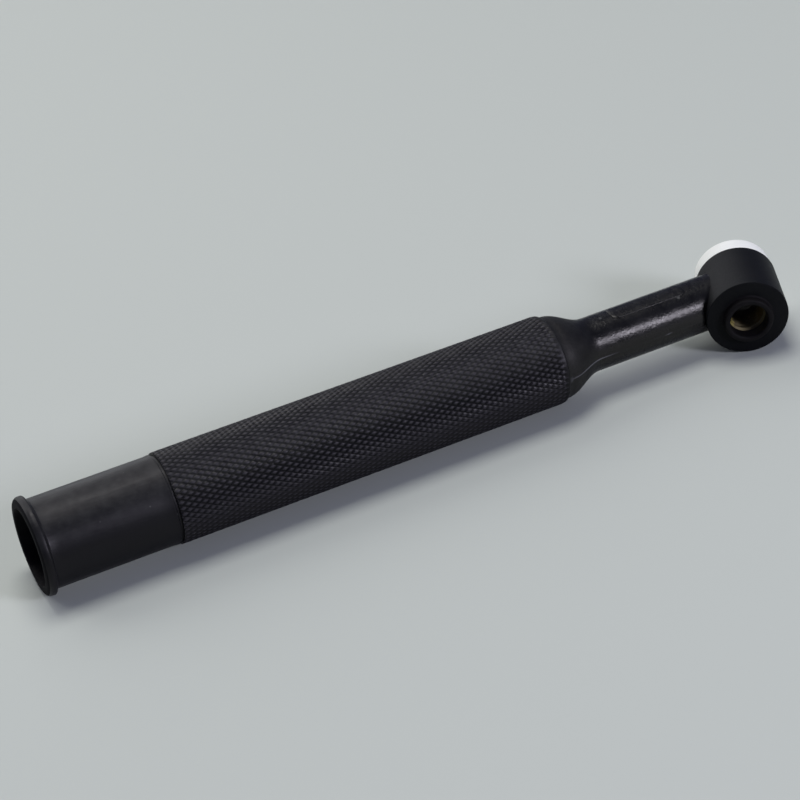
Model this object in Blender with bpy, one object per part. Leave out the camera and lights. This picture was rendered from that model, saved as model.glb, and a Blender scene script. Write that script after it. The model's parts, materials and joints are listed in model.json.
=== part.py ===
"""Air-cooled welding torch body: a knurled handle, a moulded neck and a slanted through-bored head.

The torch is modelled along +X, from the rear lip of the handle towards the head. The axes of the handle
and of the head lie in the plane z = 0 of the torch's own frame. The finished part is then laid on its
rear lip, the grip's front edge and the barrel of its head, with the middle of its box above the origin.
Sizes are in metres.
"""
import math

import bmesh
import bpy
from mathutils import Matrix, Vector

# Handle: a straight moulded tube with a grip, a smooth tail and a lip at the rear mouth
HANDLE_LENGTH = 0.1376
GRIP_RADIUS = 0.0115
TAIL_RADIUS = 0.01103
TAIL_LENGTH = 0.0344
LIP_RADIUS = 0.0123
LIP_WIDTH = 0.0029
LIP_ROUNDING = 0.0007
HANDLE_BORE_RADIUS = 0.0096
MOUTH_CHAMFER = 0.0005
GRIP_CHAMFER = 0.0007

# Torch cover: the spigot in the handle, the shoulder, the neck and the barrel of the head
SPIGOT_LENGTH = 0.0400
SPIGOT_RADIUS = 0.0088
RIB_COUNT = 4
RIB_WIDTH = 0.0024
RIB_TOP_WIDTH = 0.0012
SHOULDER_RADIUS = 0.0107
SHOULDER_COLLAR = 0.0010
SHOULDER_LENGTH = 0.0104
NECK_RADIUS = 0.00684
HEAD_REACH = 0.0550
HEAD_ANGLE = math.radians(68.84)
BARREL_RADIUS = 0.01039
BARREL_BACK = 0.01264
BARREL_FRONT = 0.0042
BARREL_WALL = 0.00299
BARREL_CHAMFER = 0.0003

# Raised bare pad on the crown of the neck
PAD_LENGTH = 0.0210
PAD_WIDTH = 0.0046
PAD_PROUD = 0.0004
PAD_FROM_HEAD = 0.0270

# Ring that the back cap seats on, standing out of the barrel's back face
SEAT_STEP = 0.0012
SEAT_WALL = 0.0015
SEAT_LENGTH = 0.0032
SEAT_PROUD = 0.0020
SEAT_CHAMFER = 0.0004

# Brass core of the head, threaded at both ends, with a side boss for the gas tube
CORE_CHAMFER = 0.0003
CORE_BORE_RADIUS = 0.0038
NOSE_RADIUS = 0.0062
NOSE_LENGTH = 0.0028
BOSS_REACH = 0.0125
BOSS_WALL = 0.0015
SOCKET_DEPTH = 0.0050
GAS_DRILL_RADIUS = 0.0016
CAP_THREAD_LENGTH = 0.0070
COLLET_THREAD_LENGTH = 0.0048
HEAD_THREAD_RADIUS = 0.0044

# White ring between the barrel and the cup
GASKET_STEP = 0.00053
GASKET_LENGTH = 0.0048
GASKET_BORE_RADIUS = 0.0053
GASKET_ROUNDING = 0.0008

# Gas tube and the nipple that the cable screws on
TUBE_RADIUS = 0.003175
TUBE_BORE_RADIUS = 0.0022
HEX_FLATS = 0.0130
HEX_LENGTH = 0.0070
NIPPLE_THREAD_LENGTH = 0.0110
NIPPLE_THREAD_RADIUS = 0.0042
NIPPLE_BORE_RADIUS = 0.0019
NIPPLE_SEAT_CHAMFER = 0.0008

# Threads share one V form
THREAD_PITCH = 0.00125
THREAD_DEPTH = 0.00050

# Clearance between pieces that touch, and the overrun of a cutting tool past the face it cuts
GAP = 0.0003
OVERRUN = 0.0010

# Mesh fineness
ROUND_SIDES = 48
TUBE_SIDES = 24
THREAD_SIDES = 24
THREAD_STEPS = 4
CORNER_STEPS = 3
SHOULDER_STEPS = 8
WELD = 0.000001
SHARP_ANGLE = math.radians(30.0)
HEXAGON_SIDES = 6

# Search for the sideways tilt at which the torch lies still
MOST_SWAY = 0.5
SWAY_HALVINGS = 50

# Places along the handle's axis
HANDLE_FRONT = HANDLE_LENGTH
SHOULDER_BACK = HANDLE_FRONT + GAP
SPIGOT_BACK = SHOULDER_BACK - SPIGOT_LENGTH
HEAD_CENTRE = HANDLE_FRONT + HEAD_REACH
HEX_FRONT = SPIGOT_BACK - GAP
HEX_BACK = HEX_FRONT - HEX_LENGTH
NIPPLE_BACK = HEX_BACK - NIPPLE_THREAD_LENGTH
BOSS_BACK = HEAD_CENTRE - BOSS_REACH

# Places along the head's axis, from the back cap's side to the cup's side
SEAT_BACK = -BARREL_BACK - SEAT_PROUD
SEAT_FRONT = SEAT_BACK + SEAT_LENGTH
CORE_BACK = SEAT_FRONT + GAP
NOSE_FRONT = BARREL_FRONT + NOSE_LENGTH
GASKET_BACK = BARREL_FRONT + GAP
GASKET_FRONT = BARREL_FRONT + GASKET_LENGTH

# Radii that follow from a neighbour
CORE_RADIUS = BARREL_RADIUS - BARREL_WALL
SEAT_RADIUS = CORE_RADIUS - SEAT_STEP
SEAT_BORE_RADIUS = SEAT_RADIUS - SEAT_WALL
GASKET_RADIUS = BARREL_RADIUS - GASKET_STEP
RIB_RADIUS = HANDLE_BORE_RADIUS - GAP
BOSS_RADIUS = TUBE_RADIUS + GAP + BOSS_WALL
TUBE_HOLE_RADIUS = TUBE_RADIUS + GAP
BOSS_HOLE_RADIUS = BOSS_RADIUS + GAP

# Colour, roughness and metallic value of each finish
FINISHES = {
    "nylon": ((0.030, 0.031, 0.034), 0.50, 0.0),
    "moulding": ((0.016, 0.017, 0.018), 0.38, 0.0),
    "phenolic": ((0.022, 0.022, 0.024), 0.35, 0.0),
    "gasket_white": ((0.82, 0.82, 0.79), 0.45, 0.0),
    "brass": ((0.78, 0.57, 0.24), 0.30, 1.0),
    "copper": ((0.80, 0.42, 0.28), 0.35, 1.0),
    "braze": ((0.72, 0.70, 0.64), 0.40, 1.0),
}


def clear_scene():
    """Remove everything that the scene holds."""
    for thing in list(bpy.data.objects):
        bpy.data.objects.remove(thing, do_unlink=True)
    for mesh in list(bpy.data.meshes):
        bpy.data.meshes.remove(mesh)
    for finish in list(bpy.data.materials):
        bpy.data.materials.remove(finish)


def finish_material(piece_name, finish_name):
    """Make one piece's own material from a named finish."""
    colour, roughness, metallic = FINISHES[finish_name]
    material = bpy.data.materials.new(piece_name + "_" + finish_name)
    material.use_nodes = True
    shader = material.node_tree.nodes["Principled BSDF"]
    shader.inputs["Base Color"].default_value = (*colour, 1.0)
    shader.inputs["Roughness"].default_value = roughness
    shader.inputs["Metallic"].default_value = metallic
    return material


def new_object(name, shape, parent):
    """Turn a bmesh into an object under one of the axis empties."""
    mesh = bpy.data.meshes.new(name)
    shape.to_mesh(mesh)
    shape.free()
    mesh.shade_smooth()
    mesh.set_sharp_from_angle(angle=SHARP_ANGLE)
    thing = bpy.data.objects.new(name, mesh)
    thing.parent = parent
    bpy.context.scene.collection.objects.link(thing)
    return thing


def add_piece(name, shape, parent, finish_name):
    """Add a finished sub-part with its own material."""
    piece = new_object(name, shape, parent)
    piece.data.materials.append(finish_material(name, finish_name))
    return piece


def add_tool(name, shape, parent):
    """Add a body that only cuts or joins another."""
    tool = new_object(name, shape, parent)
    tool.hide_render = True
    tool.display_type = "WIRE"
    return tool


def combine(piece, tool, operation):
    """Join a tool to a piece, or cut the piece with it."""
    step = piece.modifiers.new(operation.lower() + "_" + tool.name, "BOOLEAN")
    step.operation = operation
    step.solver = "EXACT"
    step.object = tool


def turned(points, sides=ROUND_SIDES, solid=False):
    """Spin an outline of (radius, height) points about local Z: a ring, or a solid with flat ends."""
    shape = bmesh.new()
    outline = [shape.verts.new((radius, 0.0, height)) for radius, height in points]
    edges = [shape.edges.new(pair) for pair in zip(outline, outline[1:])]
    if not solid:
        edges.append(shape.edges.new((outline[-1], outline[0])))
    bmesh.ops.spin(shape, geom=outline + edges, axis=(0.0, 0.0, 1.0), cent=(0.0, 0.0, 0.0),
                   angle=2.0 * math.pi, steps=sides)
    bmesh.ops.remove_doubles(shape, verts=shape.verts, dist=WELD)
    bmesh.ops.holes_fill(shape, edges=[edge for edge in shape.edges if edge.is_boundary])
    bmesh.ops.recalc_face_normals(shape, faces=shape.faces)
    return shape


def rod(sections, sides=ROUND_SIDES):
    """Solid stepped rod: sections are (start, end, radius) along local Z, each meeting the next."""
    points = []
    for start, end, radius in sections:
        points += [(radius, start), (radius, end)]
    return turned(points, sides, solid=True)


def corner(radius, height, rounding, first_turn, last_turn):
    """Points of a round corner about a centre, between two angles given in degrees."""
    points = []
    for step in range(CORNER_STEPS + 1):
        angle = math.radians(first_turn + (last_turn - first_turn) * step / CORNER_STEPS)
        points.append((radius + rounding * math.cos(angle), height + rounding * math.sin(angle)))
    return points


def prism(outline, low, high):
    """Extrude an (x, y) outline along local Z."""
    shape = bmesh.new()
    base = shape.faces.new([shape.verts.new((x, y, low)) for x, y in outline])
    grown = bmesh.ops.extrude_face_region(shape, geom=[base])
    top = [part for part in grown["geom"] if isinstance(part, bmesh.types.BMVert)]
    bmesh.ops.translate(shape, verts=top, vec=(0.0, 0.0, high - low))
    bmesh.ops.recalc_face_normals(shape, faces=shape.faces)
    return shape


def thread_height(height, turn):
    """Height of the V thread, 0 at its root and 1 at its crest, at a height and a part of a turn."""
    phase = (height / THREAD_PITCH - turn) % 1.0
    return 1.0 - abs(2.0 * phase - 1.0)


def thread_stations(start, end, radius):
    """Stations of a thread between two heights, each a height, a root radius and a depth."""
    count = math.ceil((end - start) / THREAD_PITCH * THREAD_STEPS)
    step = (end - start) / count
    cut = [(start + step * index, radius, THREAD_DEPTH) for index in range(1, count)]
    return [(start, radius, 0.0)] + cut + [(end, radius, 0.0)]


def threaded_rod(stations):
    """Solid rod along local Z whose stations carry a helical thread where their depth isn't zero."""
    shape = bmesh.new()
    rings = []
    for height, radius, depth in stations:
        ring = []
        for side in range(THREAD_SIDES):
            turn = side / THREAD_SIDES
            reach = radius + depth * thread_height(height, turn)
            angle = 2.0 * math.pi * turn
            ring.append(shape.verts.new((reach * math.cos(angle), reach * math.sin(angle), height)))
        rings.append(ring)
    for lower, upper in zip(rings, rings[1:]):
        for side in range(THREAD_SIDES):
            after = (side + 1) % THREAD_SIDES
            shape.faces.new((lower[side], lower[after], upper[after], upper[side]))
    shape.faces.new(list(reversed(rings[0])))
    shape.faces.new(rings[-1])
    bmesh.ops.recalc_face_normals(shape, faces=shape.faces)
    return shape


def make_handle(handle_axis):
    """Tube that slides over the spigot: lip, smooth tail and a grip with a chamfered front edge."""
    lip_flat = LIP_RADIUS - LIP_ROUNDING
    outline = [(HANDLE_BORE_RADIUS, MOUTH_CHAMFER), (HANDLE_BORE_RADIUS + MOUTH_CHAMFER, 0.0)]
    outline += corner(lip_flat, LIP_ROUNDING, LIP_ROUNDING, -90.0, 0.0)
    outline += corner(lip_flat, LIP_WIDTH - LIP_ROUNDING, LIP_ROUNDING, 0.0, 90.0)
    outline += [
        (TAIL_RADIUS, LIP_WIDTH),
        (TAIL_RADIUS, TAIL_LENGTH),
        (GRIP_RADIUS, TAIL_LENGTH),
        (GRIP_RADIUS, HANDLE_LENGTH - GRIP_CHAMFER),
        (GRIP_RADIUS - GRIP_CHAMFER, HANDLE_LENGTH),
        (HANDLE_BORE_RADIUS, HANDLE_LENGTH),
    ]
    add_piece("handle", turned(outline), handle_axis, "nylon")


def neck_outline():
    """Outline of the spigot with its grip ribs, the shoulder's collar and ogee, and the neck."""
    points = [(SPIGOT_RADIUS, SPIGOT_BACK)]
    for rib in range(RIB_COUNT):
        middle = SPIGOT_BACK + SPIGOT_LENGTH * (rib + 0.5) / RIB_COUNT
        points += [
            (SPIGOT_RADIUS, middle - RIB_WIDTH / 2.0),
            (RIB_RADIUS, middle - RIB_TOP_WIDTH / 2.0),
            (RIB_RADIUS, middle + RIB_TOP_WIDTH / 2.0),
            (SPIGOT_RADIUS, middle + RIB_WIDTH / 2.0),
        ]
    points += [(SPIGOT_RADIUS, SHOULDER_BACK), (SHOULDER_RADIUS, SHOULDER_BACK)]
    ogee_back = SHOULDER_BACK + SHOULDER_COLLAR
    for step in range(SHOULDER_STEPS + 1):
        share = step / SHOULDER_STEPS
        swell = (1.0 + math.cos(math.pi * share)) / 2.0
        radius = NECK_RADIUS + (SHOULDER_RADIUS - NECK_RADIUS) * swell
        points.append((radius, ogee_back + SHOULDER_LENGTH * share))
    points.append((NECK_RADIUS, HEAD_CENTRE))
    return points


def make_pad_tool(handle_axis, pad_axis):
    """Round-ended bar that follows the neck's crown and stands a little proud of it."""
    pad_end = HEAD_CENTRE - PAD_FROM_HEAD + PAD_LENGTH / 2.0
    pad_start = pad_end - PAD_LENGTH
    sleeve = rod([(pad_start - OVERRUN, pad_end + OVERRUN, NECK_RADIUS + PAD_PROUD)])
    tool = add_tool("pad_tool", sleeve, handle_axis)
    end_radius = PAD_WIDTH / 2.0
    middle = PAD_LENGTH / 2.0 - end_radius
    outline = corner(middle, 0.0, end_radius, -90.0, 90.0)
    outline += corner(-middle, 0.0, end_radius, 90.0, 270.0)
    bar = add_tool("pad_bar_tool", prism(outline, NECK_RADIUS / 2.0, NECK_RADIUS * 2.0), pad_axis)
    combine(tool, bar, "INTERSECT")
    return tool


def make_cover(handle_axis, head_axis, pad_axis):
    """Rubber moulding round the metal core: spigot, shoulder, neck and barrel in one piece."""
    cover = add_piece("torch_cover", turned(neck_outline(), solid=True), handle_axis, "moulding")
    barrel_outline = [
        (BARREL_RADIUS - BARREL_CHAMFER, -BARREL_BACK),
        (BARREL_RADIUS, -BARREL_BACK + BARREL_CHAMFER),
        (BARREL_RADIUS, BARREL_FRONT + OVERRUN),
    ]
    front_end = BARREL_FRONT + NECK_RADIUS + OVERRUN
    head_hole = rod([
        (-BARREL_BACK - OVERRUN, SEAT_FRONT, SEAT_RADIUS + GAP),
        (SEAT_FRONT, BARREL_FRONT + OVERRUN, CORE_RADIUS + GAP),
    ])
    tube_hole = rod([
        (SPIGOT_BACK - OVERRUN, SPIGOT_BACK + BOSS_WALL + GAP, BOSS_HOLE_RADIUS),
        (SPIGOT_BACK + BOSS_WALL + GAP, BOSS_BACK - BOSS_WALL - 2.0 * GAP, TUBE_HOLE_RADIUS),
        (BOSS_BACK - BOSS_WALL - 2.0 * GAP, HEAD_CENTRE, BOSS_HOLE_RADIUS),
    ], TUBE_SIDES)
    combine(cover, add_tool("barrel_tool", turned(barrel_outline, solid=True), head_axis), "UNION")
    combine(cover, make_pad_tool(handle_axis, pad_axis), "UNION")
    front_face = rod([(BARREL_FRONT, front_end, BARREL_RADIUS + OVERRUN)])
    combine(cover, add_tool("front_face_tool", front_face, head_axis), "DIFFERENCE")
    combine(cover, add_tool("head_hole_tool", head_hole, head_axis), "DIFFERENCE")
    combine(cover, add_tool("tube_hole_tool", tube_hole, handle_axis), "DIFFERENCE")


def make_seat_ring(head_axis):
    """Insulating ring in the barrel's back face, with a flat face for the back cap's seal."""
    outline = [
        (SEAT_BORE_RADIUS, SEAT_BACK + SEAT_CHAMFER),
        (SEAT_BORE_RADIUS + SEAT_CHAMFER, SEAT_BACK),
        (SEAT_RADIUS - SEAT_CHAMFER, SEAT_BACK),
        (SEAT_RADIUS, SEAT_BACK + SEAT_CHAMFER),
        (SEAT_RADIUS, SEAT_FRONT),
        (SEAT_BORE_RADIUS, SEAT_FRONT),
    ]
    add_piece("back_cap_seat", turned(outline), head_axis, "phenolic")


def make_core(handle_axis, head_axis):
    """Brass core: a through bore threaded for the back cap and the collet body, and a boss for the tube."""
    blank = [
        (CORE_RADIUS - CORE_CHAMFER, CORE_BACK),
        (CORE_RADIUS, CORE_BACK + CORE_CHAMFER),
        (CORE_RADIUS, BARREL_FRONT),
        (NOSE_RADIUS, BARREL_FRONT),
        (NOSE_RADIUS, NOSE_FRONT - CORE_CHAMFER),
        (NOSE_RADIUS - CORE_CHAMFER, NOSE_FRONT),
    ]
    core = add_piece("head_core", turned(blank, solid=True), head_axis, "brass")
    cap_thread_end = CORE_BACK + CAP_THREAD_LENGTH
    collet_thread_start = NOSE_FRONT - COLLET_THREAD_LENGTH
    taper = HEAD_THREAD_RADIUS - CORE_BORE_RADIUS
    mouth_radius = HEAD_THREAD_RADIUS + THREAD_DEPTH + OVERRUN
    bore = [(CORE_BACK - OVERRUN, mouth_radius, 0.0)]
    bore += thread_stations(CORE_BACK + THREAD_DEPTH, cap_thread_end, HEAD_THREAD_RADIUS)
    bore.append((cap_thread_end + taper, CORE_BORE_RADIUS, 0.0))
    bore.append((collet_thread_start - taper, CORE_BORE_RADIUS, 0.0))
    bore += thread_stations(collet_thread_start, NOSE_FRONT - THREAD_DEPTH, HEAD_THREAD_RADIUS)
    bore.append((NOSE_FRONT + OVERRUN, mouth_radius, 0.0))
    boss = rod([(BOSS_BACK, HEAD_CENTRE, BOSS_RADIUS)], TUBE_SIDES)
    socket = rod([
        (BOSS_BACK - OVERRUN, BOSS_BACK + SOCKET_DEPTH, TUBE_HOLE_RADIUS),
        (BOSS_BACK + SOCKET_DEPTH, HEAD_CENTRE, GAS_DRILL_RADIUS),
    ], TUBE_SIDES)
    combine(core, add_tool("boss_tool", boss, handle_axis), "UNION")
    combine(core, add_tool("core_bore_tool", threaded_rod(bore), head_axis), "DIFFERENCE")
    combine(core, add_tool("core_socket_tool", socket, handle_axis), "DIFFERENCE")


def make_gasket(gasket_axis):
    """White ring pushed over the core's nose, which the cup seats on."""
    step = NOSE_FRONT + GAP
    outline = [
        (GASKET_BORE_RADIUS, step),
        (NOSE_RADIUS + GAP, step),
        (NOSE_RADIUS + GAP, GASKET_BACK),
        (GASKET_RADIUS, GASKET_BACK),
    ]
    round_radius = GASKET_RADIUS - GASKET_ROUNDING
    outline += corner(round_radius, GASKET_FRONT - GASKET_ROUNDING, GASKET_ROUNDING, 0.0, 90.0)
    outline.append((GASKET_BORE_RADIUS, GASKET_FRONT))
    add_piece("cup_gasket", turned(outline), gasket_axis, "gasket_white")


def make_gas_tube(handle_axis):
    """Tube that carries gas and current from the nipple to the core."""
    start = HEX_FRONT - SOCKET_DEPTH + GAP
    end = BOSS_BACK + SOCKET_DEPTH - GAP
    outline = [
        (TUBE_BORE_RADIUS, start),
        (TUBE_RADIUS, start),
        (TUBE_RADIUS, end),
        (TUBE_BORE_RADIUS, end),
    ]
    add_piece("gas_tube", turned(outline, TUBE_SIDES), handle_axis, "copper")


def make_nipple(handle_axis):
    """Brass nipple behind the spigot: a hexagon with the tube's socket and a male thread for the cable."""
    stub_front = HEX_BACK + OVERRUN
    crest = NIPPLE_THREAD_RADIUS + THREAD_DEPTH
    seat_front = NIPPLE_BACK + NIPPLE_SEAT_CHAMFER
    stub = [(NIPPLE_BACK, NIPPLE_THREAD_RADIUS - NIPPLE_SEAT_CHAMFER, 0.0)]
    stub += thread_stations(seat_front, HEX_BACK - THREAD_PITCH, NIPPLE_THREAD_RADIUS)
    stub.append((HEX_BACK - THREAD_PITCH / 2.0, NIPPLE_THREAD_RADIUS, 0.0))
    stub.append((stub_front, NIPPLE_THREAD_RADIUS, 0.0))
    nipple = add_piece("cable_nipple", threaded_rod(stub), handle_axis, "brass")
    corner_radius = max(HEX_FLATS / 2.0, crest) / math.cos(math.pi / HEXAGON_SIDES)
    turns = [2.0 * math.pi * side / HEXAGON_SIDES for side in range(HEXAGON_SIDES)]
    corners = [(corner_radius * math.cos(turn), corner_radius * math.sin(turn)) for turn in turns]
    hexagon = prism(corners, HEX_BACK, HEX_FRONT)
    bore = rod([
        (NIPPLE_BACK - OVERRUN, HEX_FRONT - SOCKET_DEPTH, NIPPLE_BORE_RADIUS),
        (HEX_FRONT - SOCKET_DEPTH, HEX_FRONT + OVERRUN, TUBE_HOLE_RADIUS),
    ], TUBE_SIDES)
    combine(nipple, add_tool("hexagon_tool", hexagon, handle_axis), "UNION")
    combine(nipple, add_tool("nipple_bore_tool", bore, handle_axis), "DIFFERENCE")


def make_braze_rings(handle_axis):
    """Fillets of braze metal round the tube, at the core's boss and at the nipple's hexagon."""
    places = {
        "braze_ring_head": (BOSS_BACK - GAP, -1.0),
        "braze_ring_nipple": (HEX_FRONT + GAP, 1.0),
    }
    for name, (face, away) in places.items():
        outline = [
            (TUBE_HOLE_RADIUS, face),
            (BOSS_RADIUS, face),
            (TUBE_HOLE_RADIUS, face + away * BOSS_WALL),
        ]
        add_piece(name, turned(outline, TUBE_SIDES), handle_axis, "braze")


def add_empty(name, matrix, parent):
    """Add an empty that carries pieces, placed in its parent's frame."""
    empty = bpy.data.objects.new(name, None)
    empty.parent = parent
    empty.matrix_local = matrix
    bpy.context.scene.collection.objects.link(empty)
    return empty


def barrel_drop(lean, sway):
    """Height of the barrel's lowest back edge above the lip's lowest point, on a plane of a given tilt."""
    up = Vector((lean, sway, math.sqrt(1.0 - lean ** 2 - sway ** 2)))
    cup_side = Vector((math.cos(HEAD_ANGLE), math.sin(HEAD_ANGLE), 0.0))
    edge_centre = Vector((HEAD_CENTRE, 0.0, 0.0)) - cup_side * (BARREL_BACK - BARREL_CHAMFER)
    barrel_low = up.dot(edge_centre) - BARREL_RADIUS * math.sqrt(1.0 - up.dot(cup_side) ** 2)
    lip_low = lean * (LIP_WIDTH - LIP_ROUNDING) - LIP_RADIUS * math.sqrt(1.0 - lean ** 2)
    return barrel_low - lip_low


def resting_turn():
    """Rotation that lays the rear lip, the grip's front edge and the barrel's back edge on one level."""
    rise = (GRIP_RADIUS - LIP_RADIUS) / (HANDLE_LENGTH - GRIP_CHAMFER - LIP_WIDTH + LIP_ROUNDING)
    lean = rise / math.sqrt(1.0 + rise ** 2)
    low, high = -MOST_SWAY, MOST_SWAY
    for _ in range(SWAY_HALVINGS):
        sway = (low + high) / 2.0
        if barrel_drop(lean, sway) > 0.0:
            low = sway
        else:
            high = sway
    up = Vector((lean, sway, math.sqrt(1.0 - lean ** 2 - sway ** 2)))
    along = Vector((1.0, 0.0, 0.0))
    along = (along - up * along.dot(up)).normalized()
    return Matrix((along, up.cross(along), up)).to_4x4()


def settle(torch_frame):
    """Stand the part on z = 0 with the middle of its box above the origin."""
    bpy.context.view_layer.update()
    graph = bpy.context.evaluated_depsgraph_get()
    corners = []
    for thing in bpy.context.scene.objects:
        if thing.type == "MESH" and not thing.hide_render:
            solid = thing.evaluated_get(graph)
            corners += [solid.matrix_world @ vertex.co for vertex in solid.data.vertices]
    low = Vector([min(corner[axis] for corner in corners) for axis in range(3)])
    high = Vector([max(corner[axis] for corner in corners) for axis in range(3)])
    middle = (low + high) / 2.0
    to_origin = Matrix.Translation((-middle.x, -middle.y, -low.z))
    torch_frame.matrix_local = to_origin @ torch_frame.matrix_local
    bpy.context.view_layer.update()


def main():
    """Build the torch and lay it down."""
    clear_scene()
    quarter = math.pi / 2.0
    along_x = Matrix.Rotation(quarter, 4, "Y")
    torch_frame = add_empty("torch_frame", resting_turn(), None)
    handle_axis = add_empty("handle_axis", along_x, torch_frame)
    at_head = Matrix.Translation((HEAD_CENTRE, 0.0, 0.0)) @ Matrix.Rotation(HEAD_ANGLE, 4, "Z")
    head_axis = add_empty("head_axis", at_head @ along_x, torch_frame)
    at_pad = Matrix.Translation((HEAD_CENTRE - PAD_FROM_HEAD, 0.0, 0.0))
    pad_axis = add_empty("pad_axis", at_pad, torch_frame)
    make_handle(handle_axis)
    make_cover(handle_axis, head_axis, pad_axis)
    make_seat_ring(head_axis)
    make_core(handle_axis, head_axis)
    make_gasket(head_axis)
    make_gas_tube(handle_axis)
    make_nipple(handle_axis)
    make_braze_rings(handle_axis)
    settle(torch_frame)


main()
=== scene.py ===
"""Looks of an air-cooled welding torch body, laid out as a Blender add-on.

Each operator models one piece about its own axis, with local Z along the handle or along the head, and lays
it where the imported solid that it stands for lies. Sizes are in metres.
"""
import json
import math

import bmesh
import bpy
from bpy.props import FloatProperty, FloatVectorProperty, IntProperty, PointerProperty
from mathutils import Matrix, Vector


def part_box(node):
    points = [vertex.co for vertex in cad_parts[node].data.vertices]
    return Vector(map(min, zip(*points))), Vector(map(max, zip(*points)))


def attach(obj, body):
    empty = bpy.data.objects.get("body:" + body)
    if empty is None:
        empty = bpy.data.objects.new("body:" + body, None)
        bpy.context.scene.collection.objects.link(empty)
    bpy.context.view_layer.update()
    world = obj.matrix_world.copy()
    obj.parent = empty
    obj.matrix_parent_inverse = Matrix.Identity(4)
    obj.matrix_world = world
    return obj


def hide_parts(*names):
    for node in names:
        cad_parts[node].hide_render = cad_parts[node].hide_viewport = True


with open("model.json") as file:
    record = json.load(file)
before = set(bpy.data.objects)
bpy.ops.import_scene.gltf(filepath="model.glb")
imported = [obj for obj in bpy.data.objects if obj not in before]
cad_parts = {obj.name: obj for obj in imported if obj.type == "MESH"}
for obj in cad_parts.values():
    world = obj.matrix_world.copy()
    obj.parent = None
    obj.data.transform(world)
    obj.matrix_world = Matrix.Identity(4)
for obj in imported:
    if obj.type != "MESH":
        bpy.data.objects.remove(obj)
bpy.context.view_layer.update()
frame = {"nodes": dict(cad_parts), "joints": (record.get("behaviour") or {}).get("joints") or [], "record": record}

bl_info = {
    "name": "Welding torch body",
    "version": (1, 0, 0),
    "blender": (4, 5, 0),
    "location": "View3D > Sidebar > Torch",
    "description": "Models the pieces of a welding torch body over its packed solids",
    "category": "Mesh",
}

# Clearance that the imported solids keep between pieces, a finer one where the joint shows, and the
# overrun of a tool past the face it cuts
GAP = 0.0003
SNUG = 0.00003
OVERRUN = 0.0010

# Fineness of the meshes
WELD = 0.0000005
CORNER_STEPS = 4
SHARP_ANGLE = math.radians(44.0)
RING_STEP = 0.0012
SHOULDER_STEP = RING_STEP / 2.0
TAIL_STEP = RING_STEP * 2.0
BORE_STEP = RING_STEP * 4.0
ROUND_SIDES = 96
NECK_SIDES = 72
TUBE_SIDES = 48
THREAD_SIDES = 72
THREAD_RINGS = 10
HEXAGON_SIDES = 6

# Knurl: the share of a row that its grid starts before the grip, the spare rings of the grid, and how
# far off a ring, in rows, an edge of the grid may lie
KNURL_LEAD = 0.7
KNURL_SPARE_RINGS = 3
KNURL_OFF_RING = 0.1

# Bead: places of its crest and its slope as shares of its width, and the slope's share of its height
BEAD_CREST = 0.2
BEAD_SLOPE = 0.6
BEAD_SLOPE_HEIGHT = 0.6

# Pad: columns of faces on each side of the neck's crown, a spare turn that finds the last of them, and
# the steps of its rounded edge
PAD_COLUMNS = 4
PAD_SPARE_TURN = 0.01
PAD_EDGE_STEPS = 3

# Flash: its mean height, the size, radians per metre and phase of each of its waves, and its least
# height, as shares of its full height, and its reach as a share of the shoulder's length
FLASH_MEAN = 0.62
FLASH_WAVES = ((0.25, 900.0, 0.0), (0.20, 2300.0, 1.0))
FLASH_LEAST = 0.25
FLASH_REACH = 2.4

# Half the width within which a point counts as the crest of the flash
FLASH_CREST = WELD * 4.0

# Strength of the painted highlight along the flash's crest at the handle, on its faint stretch and on its nib
FLASH_START_TONE = 0.25
FLASH_FAINT_TONE = 0.04
FLASH_NIB_TONE = 0.8

# Shares of a size within which faces and points are found, and of the barrel's radius for the cut in
# front of it
LIP_FACE_DEPTH = 0.3
NECK_OUTSIDE = 0.95
BARREL_OUTSIDE = 1.002
FRONT_CUT_REACH = 1.5

# Bore: the share of its bright patch, a painted highlight, that has no painted shade, and the share over which
# painted shade comes in
HIGHLIGHT_MIDDLE = 0.6
HIGHLIGHT_EDGE = 0.5

# Rounding of the gasket's hidden edges, as a share of the rounding of its front edge
GASKET_EDGE = 0.25

# Finishes: sheen of the black pieces, colour of settled dust and of a film on top that is partly painted top
# light, heights between which that film thickens as shares of a radius, and the middle range of a noise
# that is drawn out from 0 to 1
NYLON_SHEEN = (1.0, 0.96, 0.955)
NECK_SHEEN = (1.0, 0.96, 0.89)
DUST_AND_TOP_LIGHT_COLOUR = (0.165, 0.168, 0.155)
NYLON_FILM = (0.3, 0.75)
NECK_FILM = (0.5, 0.85)
NOISE_LOW = 0.3
NOISE_HIGH = 0.7

# Dust: where a speck ends and where it is full, as shares of its cell, and the scale and the thinnest and
# thickest places of its film, which is partly dust and partly painted top light
SPECK_END = 0.28
SPECK_FULL = 0.12
FILM_SCALE = 420.0
FILM_THINNEST = 0.4
FILM_THICKEST = 1.6

# Stage: the floor, the camera, and the place, width and height of each lamp
FLOOR_SIZE = 6.0
FLOOR_DROP = 0.00005
SENSOR_WIDTH = 36.0
CLIP_START = 0.01
LAMPS = {
    "roof": ((0.06, 0.24, 1.40), 0.62, 0.66),
    "back": ((-0.52, 1.60, 1.05), 2.60, 2.00),
    "left": ((-1.10, 1.10, 1.10), 1.00, 1.00),
    "front": ((0.58, -1.06, 0.565), 0.28, 0.30),
}

# Directions of the torch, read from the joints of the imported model
JOINTS = {joint["name"]: Vector(joint["axis"]).normalized() for joint in frame["joints"]}
MOUNTS = {mount["name"]: Vector(mount["pos_m"]) for mount in frame["record"]["mounts"]}
ALONG_HANDLE = -JOINTS["handle_slide"]
TO_CUP = JOINTS["gasket_slide"]
OFF_PLANE = ALONG_HANDLE.cross(TO_CUP).normalized()


def axis_frame(origin, along):
    """Frame with Z along an axis of the torch and X pointing down out of the plane of the axes."""
    side = OFF_PLANE.cross(along)
    turn = Matrix((-OFF_PLANE, side, along)).transposed()
    return Matrix.Translation(origin) @ turn.to_4x4()


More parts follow.
